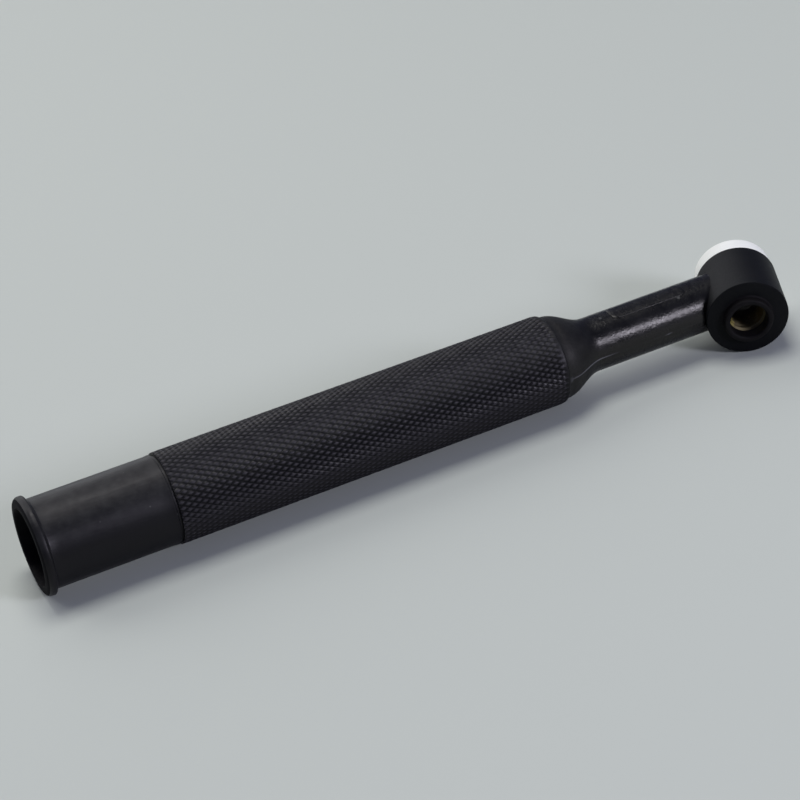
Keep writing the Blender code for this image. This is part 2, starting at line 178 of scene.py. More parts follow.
def handle_frame():
    """Frame of the handle's axis, with its origin in the plane of the rear lip."""
    tube_low, tube_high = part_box("gas_tube")
    middle = (tube_low + tube_high) / 2.0
    to_lip = (MOUNTS["rear_lip_face"] - middle).dot(ALONG_HANDLE)
    return axis_frame(middle + ALONG_HANDLE * to_lip, ALONG_HANDLE)


def head_frame(head_station):
    """Frame of the head's axis, with its origin where that axis crosses the handle's axis."""
    return axis_frame(handle_frame() @ Vector((0.0, 0.0, head_station)), TO_CUP)


# Settings


def length(name, description, default):
    """A size that the user can change."""
    return FloatProperty(name=name, description=description, default=default, min=0.0,
                         precision=5, unit="LENGTH", subtype="DISTANCE")


def angle(name, description, degrees):
    """A turn that the user can change."""
    return FloatProperty(name=name, description=description, default=math.radians(degrees),
                         unit="ROTATION", subtype="ANGLE")


def colour(name, description, default):
    """A colour that the user can change."""
    return FloatVectorProperty(name=name, description=description, default=default, min=0.0,
                               max=1.0, size=3, subtype="COLOR")


def count(name, description, default):
    """A number of like features that the user can change."""
    return IntProperty(name=name, description=description, default=default, min=3)


def power(name, description, default):
    """A lamp's power that the user can change."""
    return FloatProperty(name=name, description=description, default=default, unit="POWER")


class TorchHandleSizes(bpy.types.PropertyGroup):
    """Sizes and colours of the handle."""
    full_length: length("Length", "From the rear lip to the front edge", 0.1376)
    grip_radius: length("Grip radius", "Radius over the tips of the knurl", 0.0115)
    tail_radius: length("Tail radius", "Radius of the smooth tail", 0.01111)
    tail_length: length("Tail length", "From the rear lip to the knurl", 0.0344)
    lip_radius: length("Lip radius", "Radius of the rear lip", 0.0123)
    lip_width: length("Lip width", "Width of the rear lip", 0.0024)
    lip_rounding: length("Lip rounding", "Rounding of the lip's edge towards the tail", 0.00055)
    lip_face_rounding: length("Lip face rounding", "Rounding of the lip's edge at its face", 0.0013)
    lip_fillet: length("Lip fillet", "Fillet between lip and tail", 0.0006)
    bore_radius: length("Bore radius", "Radius of the bore", 0.0096)
    mouth_chamfer: length("Mouth chamfer", "Chamfer of the bore's mouth", 0.0002)
    front_plain: length("Front band", "Plain band between the knurl and the front edge", 0.0011)
    front_rounding: length("Front rounding", "Rounding of the grip's front edge", 0.0004)
    groove_width: length("Groove width", "Width of the groove before the knurl", 0.0006)
    groove_depth: length("Groove depth", "Depth of the groove before the knurl", 0.0003)
    bead_width: length("Bead width", "Width of the low bead before the groove", 0.0013)
    bead_height: length("Bead height", "Height of the low bead before the groove", 0.00012)
    knurl_depth: length("Knurl depth", "Depth of the knurl's valleys", 0.00033)
    knurl_flank: length("Knurl flank", "Width of the slopes of a diamond", 0.00039)
    knurl_count: count("Diamonds around", "Diamonds in one turn of the knurl", 48)
    knurl_rows: count("Diamonds along", "Diamonds along the grip", 37)
    body_colour: colour("Nylon", "Colour of the black nylon", (0.0049, 0.0048, 0.0060))
    # Paler colour of the knurl's tips, partly real wear and partly a painted highlight
    worn_colour: colour("Worn nylon", "Colour of rubbed edges and tips", (0.037, 0.034, 0.041))


class TorchCoverSizes(bpy.types.PropertyGroup):
    """Sizes and colours of the moulded cover."""
    spigot_length: length("Spigot length", "Length inside the handle", 0.0400)
    spigot_radius: length("Spigot radius", "Radius between the ribs", 0.0088)
    rib_width: length("Rib width", "Width of a grip rib at its foot", 0.0024)
    rib_top_width: length("Rib top width", "Width of a grip rib at its top", 0.0012)
    rib_count: count("Ribs", "Grip ribs on the spigot", 4)
    shoulder_radius: length("Shoulder radius", "Radius of the shoulder at the handle", 0.0107)
    collar_rise: length("Collar rise", "How much wider the collar is at the handle", 0.00040)
    shoulder_collar: length("Shoulder collar", "Length of the shoulder's straight collar", 0.0010)
    shoulder_length: length("Shoulder length", "Length of the shoulder's ogee", 0.0104)
    neck_radius: length("Neck radius", "Radius of the neck", 0.00697)
    head_reach: length("Head reach", "From the handle's front to the head's axis", 0.0550)
    barrel_radius: length("Barrel radius", "Radius of the head", 0.01039)
    barrel_back: length("Barrel back", "From the crossing of the axes to the back face", 0.01264)
    barrel_front: length("Barrel front", "From the crossing of the axes to the front face", 0.0042)
    barrel_rounding: length("Barrel rounding", "Rounding of the barrel's edges", 0.0002)
    pad_length: length("Pad length", "Length of the raised bare pad", 0.0210)
    pad_proud: length("Pad height", "Height of the raised bare pad", 0.00017)
    pad_from_head: length("Pad place", "From the pad's middle to the head's axis", 0.0270)
    pad_corner: length("Pad corner", "Radius of the pad's corners", 0.0012)
    pad_rounding: length("Pad rounding", "Rounding of the pad's edge", 0.00015)
    flash_width: length("Flash width", "Width of the moulding flash", 0.00050)
    flash_height: length("Flash height", "Height of the moulding flash", 0.00022)
    # Rise, fade, end and nib place the painted highlight along the flash's crest: strongest, fading, faint, and a
    # bright nib
    flash_rise: length("Flash rise", "From the handle's front to where the flash is palest", 0.0060)
    flash_fade: length("Flash fade", "From the handle's front to where the flash fades", 0.0110)
    flash_end: length("Flash end", "From the handle's front to where the flash is faint", 0.0160)
    flash_nib: length("Flash nib", "From the handle's front to a small pale nib of flash", 0.0298)
    neck_colour: colour("Neck", "Colour of the glossy neck", (0.0022, 0.0022, 0.0029))
    # The flash's colour is a painted highlight along its crest
    flash_colour: colour("Flash", "Colour of the pale line of flash", (0.13, 0.13, 0.14))
    barrel_colour: colour("Barrel", "Colour of the dull barrel", (0.0044, 0.0048, 0.0056))


class TorchHeadSizes(bpy.types.PropertyGroup):
    """Sizes and colours of the pieces in the head."""
    seat_radius: length("Seat radius", "Outer radius of the back cap's seat", 0.0062)
    seat_bore_radius: length("Seat bore radius", "Bore of the back cap's seat", 0.0047)
    seat_length: length("Seat length", "Length of the back cap's seat", 0.0032)
    seat_proud: length("Seat proud", "How far the seat stands out of the barrel", 0.0020)
    seat_rounding: length("Seat rounding", "Rounding of the seat's edges", 0.0006)
    seat_flare: length("Seat flare", "Fillet at the foot of the seat", 0.0005)
    core_radius: length("Core radius", "Outer radius of the brass core", 0.0074)
    core_chamfer: length("Core chamfer", "Chamfer of the core's edges", 0.0003)
    core_bore_radius: length("Core bore radius", "Plain bore between the threads", 0.0038)
    nose_radius: length("Nose radius", "Radius of the nose that carries the gasket", 0.0062)
    nose_length: length("Nose length", "Length of the nose", 0.0028)
    boss_reach: length("Boss reach", "From the head's axis to the boss's end", 0.0125)
    boss_wall: length("Boss wall", "Wall of the boss round the tube", 0.0015)
    socket_depth: length("Socket depth", "Depth of the tube's sockets", 0.0050)
    gas_drill_radius: length("Gas drill radius", "Radius of the gas drilling", 0.0016)
    cap_thread_length: length("Cap thread", "Length of the back cap's thread", 0.0070)
    collet_thread_length: length("Collet thread", "Length of the collet body's thread", 0.0048)
    thread_radius: length("Thread radius", "Crest radius of the core's threads", 0.0044)
    thread_pitch: length("Thread pitch", "Pitch of all threads", 0.00125)
    thread_depth: length("Thread depth", "Depth of all threads", 0.00050)
    gasket_radius: length("Gasket radius", "Outer radius of the gasket", 0.00986)
    gasket_length: length("Gasket length", "From the barrel to the gasket's front", 0.0051)
    gasket_bore_radius: length("Gasket bore radius", "Bore of the gasket", 0.0053)
    gasket_rounding: length("Gasket rounding", "Rounding of the gasket's front edge", 0.0008)
    seat_colour: colour("Seat", "Colour of the back cap's seat", (0.0058, 0.0052, 0.0055))
    gasket_colour: colour("Gasket", "Colour of the white gasket", (0.92, 0.925, 0.855))
    brass_colour: colour("Brass", "Colour of clean brass", (0.98, 0.82, 0.27))
    tarnish_colour: colour("Tarnish", "Colour of tarnished brass", (0.42, 0.30, 0.08))
    # Painted shade and highlight of the bore: its blackened mouth and black depth are painted shade, and the clean
    # patch is bright brass that stands in for a highlight
    soot_colour: colour("Soot", "Colour of the blackened mouth of the bore", (0.095, 0.078, 0.040))
    depth_colour: colour("Deep soot", "Colour of the black depth of the bore", (0.010, 0.008, 0.006))
    clean_place: length("Clean place", "From the core's mouth to the middle of its clean patch", 0.0024)
    clean_depth: length("Clean depth", "How far from there the bore is rubbed clean", 0.0028)
    clean_turn: angle("Clean side", "Turn from the bottom of the bore to its clean side", 72.0)
    clean_spread: angle("Clean spread", "Turn from the clean side to where soot begins", 32.0)


class TorchInletSizes(bpy.types.PropertyGroup):
    """Sizes and colours of the gas tube and of the nipple that the cable screws on."""
    tube_radius: length("Tube radius", "Outer radius of the gas tube", 0.003175)
    hexagon_flats: length("Hexagon", "Width of the hexagon across its flats", 0.0130)
    hexagon_length: length("Hexagon length", "Length of the hexagon", 0.0070)
    hexagon_bevel: length("Hexagon bevel", "Bevel of the hexagon's ends", 0.0005)
    stub_length: length("Stub length", "Length of the male thread", 0.0110)
    stub_radius: length("Stub radius", "Root radius of the male thread", 0.0042)
    stub_bore_radius: length("Stub bore radius", "Bore of the nipple", 0.0019)
    stub_chamfer: length("Stub chamfer", "Chamfer of the nipple's end", 0.0008)
    copper_colour: colour("Copper", "Colour of the gas tube", (0.80, 0.42, 0.28))
    braze_colour: colour("Braze", "Colour of the braze metal", (0.72, 0.70, 0.64))


class TorchStageSettings(bpy.types.PropertyGroup):
    """Floor, lamps and camera."""
    floor_colour: colour("Floor", "Colour of the pale floor", (0.538, 0.567, 0.512))
    sky_colour: colour("Sky", "Colour of the light from all round", (0.40, 0.47, 1.0))
    front_colour: colour("Front lamp", "Colour of the small lamp in front", (0.83, 0.825, 1.0))
    sky_strength: FloatProperty(name="Sky", description="Light from all round", default=0.12)
    roof_power: power("Roof lamp", "Power of the wide lamp overhead", 9.8)
    back_power: power("Back lamp", "Power of the wall of light behind", 18.6)
    left_power: power("Left lamp", "Power of the lamp behind on the left", 4.0)
    front_power: power("Front lamp", "Power of the small lamp in front", 9.2)
    lens: FloatProperty(name="Lens", description="Focal length of the camera", default=116.557,
                        unit="CAMERA", subtype="DISTANCE_CAMERA")
    camera_place: FloatVectorProperty(name="Camera place", description="Where the camera stands",
                                      default=(-0.194498, -0.502249, 0.343041), size=3,
                                      precision=5, unit="LENGTH", subtype="TRANSLATION")
    camera_turn: FloatVectorProperty(name="Camera turn", description="How the camera is turned",
                                     default=[math.radians(turn) for turn in (58.3454, 7.8040, -25.3324)],
                                     size=3, unit="ROTATION", subtype="EULER")


# Modelling


def reach_of(place):
    """Distance of a place from the axis that a piece is modelled about."""
    return math.hypot(place.x, place.y)


def set_reach(vert, reach):
    """Move a vertex straight out from its axis, or in towards it."""
    grow = reach / reach_of(vert.co)
    vert.co.x *= grow
    vert.co.y *= grow


def within_one(value):
    """A value kept between 0 and 1."""
    return min(1.0, max(0.0, value))


def start_ring(name, sides, radius, height):
    """Start a piece from a circle about local Z. It is left in edit mode with the circle selected."""
    bpy.ops.object.select_all(action="DESELECT")
    bpy.ops.mesh.primitive_circle_add(vertices=sides, radius=radius)
    piece = bpy.context.object
    piece.name = name
    piece.data.name = name
    bpy.ops.object.mode_set(mode="EDIT")
    bpy.ops.mesh.select_mode(type="EDGE")
    bpy.ops.mesh.select_all(action="SELECT")
    bpy.ops.transform.translate(value=(0.0, 0.0, height))
    return piece


def draw(outline):
    """Extrude the selected ring from point to point of an outline of (radius, height) pairs."""
    for (radius, height), (next_radius, next_height) in zip(outline, outline[1:]):
        step = (0.0, 0.0, next_height - height)
        bpy.ops.mesh.extrude_edges_move(TRANSFORM_OT_translate={"value": step})
        grow = next_radius / radius
        if grow != 1.0:
            bpy.ops.transform.resize(value=(grow, grow, 1.0), center_override=(0.0, 0.0, next_height))


def corner(radius, height, rounding, first_turn, last_turn):
    """Points of a round corner about a centre, between two angles given in degrees."""
    points = []
    for step in range(CORNER_STEPS + 1):
        turn = math.radians(first_turn + (last_turn - first_turn) * step / CORNER_STEPS)
        points.append((radius + rounding * math.cos(turn), height + rounding * math.sin(turn)))
    return points


def stations(radius, start, end, step):
    """Outline points of a straight wall, no further apart than a step. The first one is left out."""
    parts = max(1, math.ceil(abs(end - start) / step))
    return [(radius, start + (end - start) * index / parts) for index in range(1, parts + 1)]


def select_where(piece, kind, test):
    """Select the vertices, edges or faces of a piece in edit mode that pass a test."""
    bpy.ops.mesh.select_mode(type=kind)
    bpy.ops.mesh.select_all(action="DESELECT")
    shape = bmesh.from_edit_mesh(piece.data)
    parts = {"VERT": shape.verts, "EDGE": shape.edges, "FACE": shape.faces}[kind]
    found = [part for part in parts if test(part)]
    if not found:
        raise RuntimeError(f"nothing to select on {piece.name}")
    for part in found:
        part.select_set(True)
    bmesh.update_edit_mesh(piece.data)


def point_outwards():
    """Turn all faces of the piece in edit mode outwards."""
    bpy.ops.mesh.select_mode(type="FACE")
    bpy.ops.mesh.select_all(action="SELECT")
    bpy.ops.mesh.normals_make_consistent(inside=False)


def close_ring(piece):
    """Join the first and the last ring of a drawn outline."""
    select_where(piece, "EDGE", lambda edge: edge.is_boundary)
    bpy.ops.mesh.bridge_edge_loops()


def cap_ends():
    """Close the open ends of the piece in edit mode with flat faces."""
    bpy.ops.mesh.select_all(action="SELECT")
    bpy.ops.mesh.fill_holes(sides=0)


def lay(piece, axis):
    """End the modelling of a piece and lay it on its axis, with its place in its mesh."""
    bpy.ops.mesh.select_all(action="SELECT")
    bpy.ops.mesh.remove_doubles(threshold=WELD)
    point_outwards()
    bpy.ops.object.mode_set(mode="OBJECT")
    piece.matrix_world = axis
    bpy.ops.object.transform_apply(location=True, rotation=True, scale=True)
    return piece


def turned_ring(name, sides, outline, axis):
    """Ring with a closed outline, laid on its axis."""
    piece = start_ring(name, sides, *outline[0])
    draw(outline)
    close_ring(piece)
    return lay(piece, axis)


def turned_rod(name, sides, outline, axis):
    """Solid rod with flat ends, laid on its axis."""
    piece = start_ring(name, sides, *outline[0])
    draw(outline)
    cap_ends()
    return lay(piece, axis)


def select_only(piece):
    """Make a piece the only selected object and the active one."""
    bpy.ops.object.select_all(action="DESELECT")
    piece.select_set(True)
    bpy.context.view_layer.objects.active = piece


def combine(piece, tool, operation):
    """Join a tool to a piece, or cut the piece with it, and remove the tool."""
    select_only(piece)
    step = piece.modifiers.new("step", "BOOLEAN")
    step.operation = operation
    step.solver = "EXACT"
    step.object = tool
    bpy.ops.object.modifier_apply(modifier=step.name)
    bpy.data.objects.remove(tool, do_unlink=True)


def present(piece, materials, body, node):
    """Shade a finished piece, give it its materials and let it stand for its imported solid."""
    select_only(piece)
    bpy.ops.object.shade_smooth_by_angle(angle=SHARP_ANGLE)
    for material in materials:
        piece.data.materials.append(material)
    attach(piece, body)
    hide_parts(node)


def paint(piece, index, axis, test):
    """Give a material of a piece to the faces whose middles, seen from an axis, pass a test."""
    to_axis = axis.inverted()
    for face in piece.data.polygons:
        if test(to_axis @ face.center):
            face.material_index = index


def thread_wall(radius, start, end, pitch):
    """Outline points of a wall that is close enough ringed to take a thread."""
    return stations(radius, start, end, pitch / THREAD_RINGS)


def cut_thread(piece, start, end, pitch, depth):
    """Push the rings between two heights of a piece in edit mode out to a helical V thread."""
    run_out = pitch / 2.0
    shape = bmesh.from_edit_mesh(piece.data)
    for vert in shape.verts:
        height = vert.co.z
        if start + WELD < height < end - WELD:
            turn = math.atan2(vert.co.y, vert.co.x) / (2.0 * math.pi)
            phase = (height / pitch - turn) % 1.0
            fade = min(1.0, (height - start) / run_out, (end - height) / run_out)
            rise = depth * fade * (1.0 - abs(2.0 * phase - 1.0))
            set_reach(vert, reach_of(vert.co) + rise)
    bmesh.update_edit_mesh(piece.data)


# Node groups that several finishes share


def new_group(name, inputs, outputs):
    """Empty shader node group with named inputs, each with a default, and named outputs."""
    group = bpy.data.node_groups.new(name, "ShaderNodeTree")
    for label, kind, default in inputs:
        socket = group.interface.new_socket(label, in_out="INPUT", socket_type=kind)
        socket.default_value = default
    for label in outputs:
        group.interface.new_socket(label, in_out="OUTPUT", socket_type="NodeSocketFloat")
    start = group.nodes.new("NodeGroupInput")
    end = group.nodes.new("NodeGroupOutput")
    return group, start, end


def add_node(tree, kind, settings=None, values=None):
    """Add a node with its settings and the values of its unlinked inputs."""
    node = tree.nodes.new(kind)
    for name, value in (settings or {}).items():
        setattr(node, name, value)
    for name, value in (values or {}).items():
        node.inputs[name].default_value = value
    return node


def ramp(tree, source, low, high, to_low=0.0, to_high=1.0):
    """Map a value from one range to another, kept inside the second range."""
    node = add_node(tree, "ShaderNodeMapRange", {"clamp": True},
                    {"From Min": low, "From Max": high, "To Min": to_low, "To Max": to_high})
    tree.links.new(source, node.inputs["Value"])
    return node.outputs["Result"]


def spread(tree, share, low, high):
    """A value between two limits, by a share from 0 to 1."""
    return ramp(tree, share, 0.0, 1.0, low, high)


def maths(tree, operation, first, second):
    """Combine two values, each a socket or a number."""
    node = add_node(tree, "ShaderNodeMath", {"operation": operation})
    for slot, value in enumerate((first, second)):
        if isinstance(value, float):
            node.inputs[slot].default_value = value
        else:
            tree.links.new(value, node.inputs[slot])
    return node.outputs["Value"]


def scaled(tree, value, share):
    """A share of a value."""
    return maths(tree, "MULTIPLY", value, share)


def along_direction(tree, source, direction):
    """How far a place lies along a direction, which is a socket or a vector."""
    node = add_node(tree, "ShaderNodeVectorMath", {"operation": "DOT_PRODUCT"})
    tree.links.new(source, node.inputs[0])
    if isinstance(direction, Vector):
        node.inputs[1].default_value = direction
    else:
        tree.links.new(direction, node.inputs[1])
    return node.outputs["Value"]


def moulded_grain(name):
    """Group: fine grain and broad patches of a moulded surface, drawn out along a chosen direction."""
    group, start, end = new_group(name, [
        ("Stretch", "NodeSocketVector", (1.0, 1.0, 1.0)),
        ("Grain Scale", "NodeSocketFloat", 2500.0),
        ("Patch Scale", "NodeSocketFloat", 90.0),
    ], ["Grain", "Patches"])
    place = add_node(group, "ShaderNodeTexCoord")
    drawn = add_node(group, "ShaderNodeVectorMath", {"operation": "MULTIPLY"})
    group.links.new(place.outputs["Object"], drawn.inputs[0])
    group.links.new(start.outputs["Stretch"], drawn.inputs[1])
    for label, scale, detail in (("Grain", "Grain Scale", 3.0), ("Patches", "Patch Scale", 4.0)):
        noise = add_node(group, "ShaderNodeTexNoise", values={"Detail": detail, "Roughness": 0.6})
        group.links.new(drawn.outputs["Vector"], noise.inputs["Vector"])
        group.links.new(start.outputs[scale], noise.inputs["Scale"])
        group.links.new(ramp(group, noise.outputs["Fac"], NOISE_LOW, NOISE_HIGH), end.inputs[label])


def settled_dust(name):
    """Group: masks of sparse pale specks of dust and of a thin uneven film on top, partly painted top light."""
    group, start, end = new_group(name, [
        ("Speck Scale", "NodeSocketFloat", 700.0),
        ("Amount", "NodeSocketFloat", 0.1),
        ("Up", "NodeSocketVector", (0.0, 0.0, 1.0)),
        ("Low", "NodeSocketFloat", 0.0),
        ("High", "NodeSocketFloat", 1.0),
    ], ["Specks", "Film"])
    place = add_node(group, "ShaderNodeTexCoord").outputs["Object"]
    cells = add_node(group, "ShaderNodeTexVoronoi")
    group.links.new(place, cells.inputs["Vector"])
    group.links.new(start.outputs["Speck Scale"], cells.inputs["Scale"])
    chance = add_node(group, "ShaderNodeSeparateColor")
    group.links.new(cells.outputs["Color"], chance.inputs["Color"])
    dot = ramp(group, cells.outputs["Distance"], SPECK_END, SPECK_FULL)
    chosen = maths(group, "LESS_THAN", chance.outputs["Red"], start.outputs["Amount"])
    group.links.new(maths(group, "MULTIPLY", dot, chosen), end.inputs["Specks"])
    film = add_node(group, "ShaderNodeMapRange", {"clamp": True})
    group.links.new(along_direction(group, place, start.outputs["Up"]), film.inputs["Value"])
    group.links.new(start.outputs["Low"], film.inputs["From Min"])
    group.links.new(start.outputs["High"], film.inputs["From Max"])
    clouds = add_node(group, "ShaderNodeTexNoise", values={"Scale": FILM_SCALE, "Detail": 4.0})
    group.links.new(place, clouds.inputs["Vector"])
    uneven = ramp(group, clouds.outputs["Fac"], NOISE_LOW, NOISE_HIGH, FILM_THINNEST, FILM_THICKEST)
    group.links.new(maths(group, "MULTIPLY", film.outputs["Result"], uneven), end.inputs["Film"])


def turned_marks(name):
    """Group: fine tool marks of a lathe round an axis."""
    group, start, end = new_group(name, [
        ("Axis", "NodeSocketVector", (0.0, 0.0, 1.0)),
        ("Mark Scale", "NodeSocketFloat", 9000.0),
    ], ["Marks"])
    place = add_node(group, "ShaderNodeTexCoord")
    along = along_direction(group, place.outputs["Object"], start.outputs["Axis"])
    noise = add_node(group, "ShaderNodeTexNoise", {"noise_dimensions": "1D"}, {"Detail": 2.0})
    group.links.new(along, noise.inputs["W"])
    group.links.new(start.outputs["Mark Scale"], noise.inputs["Scale"])
    group.links.new(ramp(group, noise.outputs["Fac"], NOISE_LOW, NOISE_HIGH), end.inputs["Marks"])


def place_group(tree, build, values):
    """Place a shared node group in a material with its own values. It is built when first needed."""
    name = build.__name__
    if name not in bpy.data.node_groups:
        build(name)
    node = tree.nodes.new("ShaderNodeGroup")
    node.node_tree = bpy.data.node_groups[name]
    for label, value in values.items():
        node.inputs[label].default_value = value
    return node


def add_grain(tree, grain_scale, patch_scale, stretch=(1.0, 1.0, 1.0)):
    """Place the moulded grain in a material."""
    return place_group(tree, moulded_grain, {
        "Stretch": stretch, "Grain Scale": grain_scale, "Patch Scale": patch_scale})


def add_dust(tree, speck_scale, amount, film_heights=None):
    """Place the dust in a material, with any film between two heights over the plane of the axes, partly painted
    top light.
    """
    values = {"Speck Scale": speck_scale, "Amount": amount}
    if film_heights:
        level = handle_frame().translation.dot(OFF_PLANE)
        low, high = film_heights
        values.update({"Up": tuple(OFF_PLANE), "Low": level + low, "High": level + high})
    return place_group(tree, settled_dust, values)


def add_marks(tree, axis, mark_scale):
    """Place the lathe's marks in a material."""
    return place_group(tree, turned_marks, {"Axis": tuple(axis), "Mark Scale": mark_scale})


# Finishes


def new_finish(name, values):
    """Material with a Principled shader whose uniform values are set on its own sockets."""
    material = bpy.data.materials.new(name)
    material.use_nodes = True
    shader = material.node_tree.nodes["Principled BSDF"]
    for label, value in values.items():
        shader.inputs[label].default_value = value
    return material, material.node_tree, shader


def stored(tree, name):
    """A value that a piece stores at its points."""
    return add_node(tree, "ShaderNodeAttribute", {"attribute_name": name}).outputs["Fac"]


def blend_colours(tree, factor, first, second):
    """Mix two colours, each a socket or a colour, by a factor."""
    node = add_node(tree, "ShaderNodeMix", {"data_type": "RGBA"})
    tree.links.new(factor, node.inputs["Factor"])
    for name, value in (("A", first), ("B", second)):
        socket = next(item for item in node.inputs if item.name == name and item.type == "RGBA")
        if isinstance(value, bpy.types.NodeSocket):
            tree.links.new(value, socket)
        else:
            socket.default_value = (*value, 1.0)
    return next(item for item in node.outputs if item.type == "RGBA")


def shade(base, share):
    """A colour made lighter or darker."""
    return tuple(channel * share for channel in base)


def patchy(tree, grain, base, dark, light):
    """A colour that varies between two shades of itself in the patches of a grain."""
    return blend_colours(tree, grain.outputs["Patches"], shade(base, dark), shade(base, light))


def dusted(tree, dust, base, specks, film=0.0):
    """A colour with shares of the dust's colour over it, in specks and in any film, which is partly painted top
    light.
    """
    settled = scaled(tree, dust.outputs["Specks"], specks)
    if film:
        settled = maths(tree, "ADD", settled, scaled(tree, dust.outputs["Film"], film))
    return blend_colours(tree, settled, base, DUST_AND_TOP_LIGHT_COLOUR)


def add_bump(tree, shader, height, distance):
    """Drive the shader's normal by a height."""
    bump = add_node(tree, "ShaderNodeBump", values={"Distance": distance})
    tree.links.new(height, bump.inputs["Height"])
    tree.links.new(bump.outputs["Normal"], shader.inputs["Normal"])


def nylon_finish(sizes):
    """Satin black nylon, drawn along the handle, with painted shade in the knurl's valleys.
    The knurl's tips are paler from wear and a painted highlight, and the top from dust and painted top light.
    """
    material, tree, shader = new_finish("satin_black_nylon", {
        "Specular IOR Level": 0.19, "Specular Tint": (*NYLON_SHEEN, 1.0)})
    grain = add_grain(tree, grain_scale=2600.0, patch_scale=170.0, stretch=(0.12, 1.0, 1.0))
    film = [sizes.tail_radius * share for share in NYLON_FILM]
    # The film on top is partly dust and partly painted top light
    dust = add_dust(tree, speck_scale=900.0, amount=0.012, film_heights=film)
    tip = stored(tree, "tip")
    # The tips are paler partly from wear and partly from a painted highlight
    rub_and_glint = scaled(tree, ramp(tree, tip, low=0.7, high=1.0), share=0.75)
    # Painted shade: the nylon is blended towards a darker shade of itself in the knurl's valleys
    valley = ramp(tree, tip, low=0.45, high=0.0)
    body = patchy(tree, grain, sizes.body_colour, dark=0.8, light=1.2)
    shaded = blend_colours(tree, valley, body, shade(sizes.body_colour, share=0.6))
    rubbed = blend_colours(tree, rub_and_glint, shaded, sizes.worn_colour)
    tree.links.new(dusted(tree, dust, rubbed, specks=0.22, film=0.07), shader.inputs["Base Color"])
    rough = spread(tree, grain.outputs["Patches"], low=0.28, high=0.56)
    wear = scaled(tree, maths(tree, "ADD", valley, rub_and_glint), share=0.12)
    tree.links.new(maths(tree, "ADD", rough, wear), shader.inputs["Roughness"])
    add_bump(tree, shader, grain.outputs["Grain"], distance=0.000012)
    return material


def cut_finish(sizes):
    """Matt cut face of the black nylon."""
    material, tree, shader = new_finish("cut_black_nylon", {"Roughness": 0.8, "Specular IOR Level": 0.08})
    grain = add_grain(tree, grain_scale=2600.0, patch_scale=300.0)
    body = patchy(tree, grain, sizes.body_colour, dark=0.9, light=1.3)
    tree.links.new(body, shader.inputs["Base Color"])
    add_bump(tree, shader, grain.outputs["Grain"], distance=0.000012)
    return material


def neck_finish(sizes, dull_end, gloss_start):
    """Glossy black moulding with a pebbled skin, duller on the shoulder, and a painted highlight along the flash.
    """
    material, tree, shader = new_finish("glossy_black_moulding", {
        "Specular IOR Level": 0.33, "Specular Tint": (*NECK_SHEEN, 1.0)})
    grain = add_grain(tree, grain_scale=1400.0, patch_scale=240.0)
    film = [sizes.neck_radius * share for share in NECK_FILM]
    # The film on top is partly dust and partly painted top light
    dust = add_dust(tree, speck_scale=520.0, amount=0.02, film_heights=film)
    body = patchy(tree, grain, sizes.neck_colour, dark=0.8, light=1.25)
    dusty = dusted(tree, dust, body, specks=0.4, film=0.030)
    # Painted highlight along the crest of the flash
    highlit = blend_colours(tree, stored(tree, "flash"), dusty, sizes.flash_colour)
    tree.links.new(highlit, shader.inputs["Base Color"])
    place = add_node(tree, "ShaderNodeTexCoord")
    along = along_direction(tree, place.outputs["Object"], ALONG_HANDLE)
    dull = ramp(tree, along, dull_end, gloss_start, to_low=0.28, to_high=0.0)
    skin = spread(tree, grain.outputs["Patches"], low=0.22, high=0.33)
    tree.links.new(maths(tree, "ADD", skin, dull), shader.inputs["Roughness"])
    pebbles = scaled(tree, grain.outputs["Patches"], share=2.0)
    add_bump(tree, shader, maths(tree, "ADD", grain.outputs["Grain"], pebbles), distance=0.000026)
    return material


def barrel_finish(name, base, specular):
    """Dull black moulding of the head, with specks of dust."""
    material, tree, shader = new_finish(name, {"Specular IOR Level": specular})
    grain = add_grain(tree, grain_scale=2800.0, patch_scale=200.0)
    dust = add_dust(tree, speck_scale=900.0, amount=0.02)
    body = patchy(tree, grain, base, dark=0.85, light=1.2)
    tree.links.new(dusted(tree, dust, body, specks=0.35), shader.inputs["Base Color"])
    rough = spread(tree, grain.outputs["Grain"], low=0.50, high=0.62)
    tree.links.new(rough, shader.inputs["Roughness"])
    add_bump(tree, shader, grain.outputs["Grain"], distance=0.000014)
    return material


def seat_finish(sizes):
    """Turned black phenolic with faint tool rings."""
    material, tree, shader = new_finish("turned_black_phenolic", {"Specular IOR Level": 0.09})
    marks = add_marks(tree, TO_CUP, mark_scale=7000.0)
    grain = add_grain(tree, grain_scale=3000.0, patch_scale=300.0)
    body = patchy(tree, grain, sizes.seat_colour, dark=0.8, light=1.3)
    tree.links.new(body, shader.inputs["Base Color"])
    rough = spread(tree, marks.outputs["Marks"], low=0.55, high=0.68)
    tree.links.new(rough, shader.inputs["Roughness"])
    add_bump(tree, shader, marks.outputs["Marks"], distance=0.000008)
    return material


def gasket_finish(sizes):
    """White gasket with a soft skin and faint handling marks."""
    material, tree, shader = new_finish("soft_white_gasket", {"Specular IOR Level": 0.45})
    marks = add_marks(tree, TO_CUP, mark_scale=5000.0)
    grain = add_grain(tree, grain_scale=2600.0, patch_scale=260.0)
    body = patchy(tree, grain, sizes.gasket_colour, dark=0.95, light=1.0)
    tree.links.new(body, shader.inputs["Base Color"])
    rough = spread(tree, marks.outputs["Marks"], low=0.40, high=0.52)
    tree.links.new(rough, shader.inputs["Roughness"])
    add_bump(tree, shader, marks.outputs["Marks"], distance=0.000006)
    return material


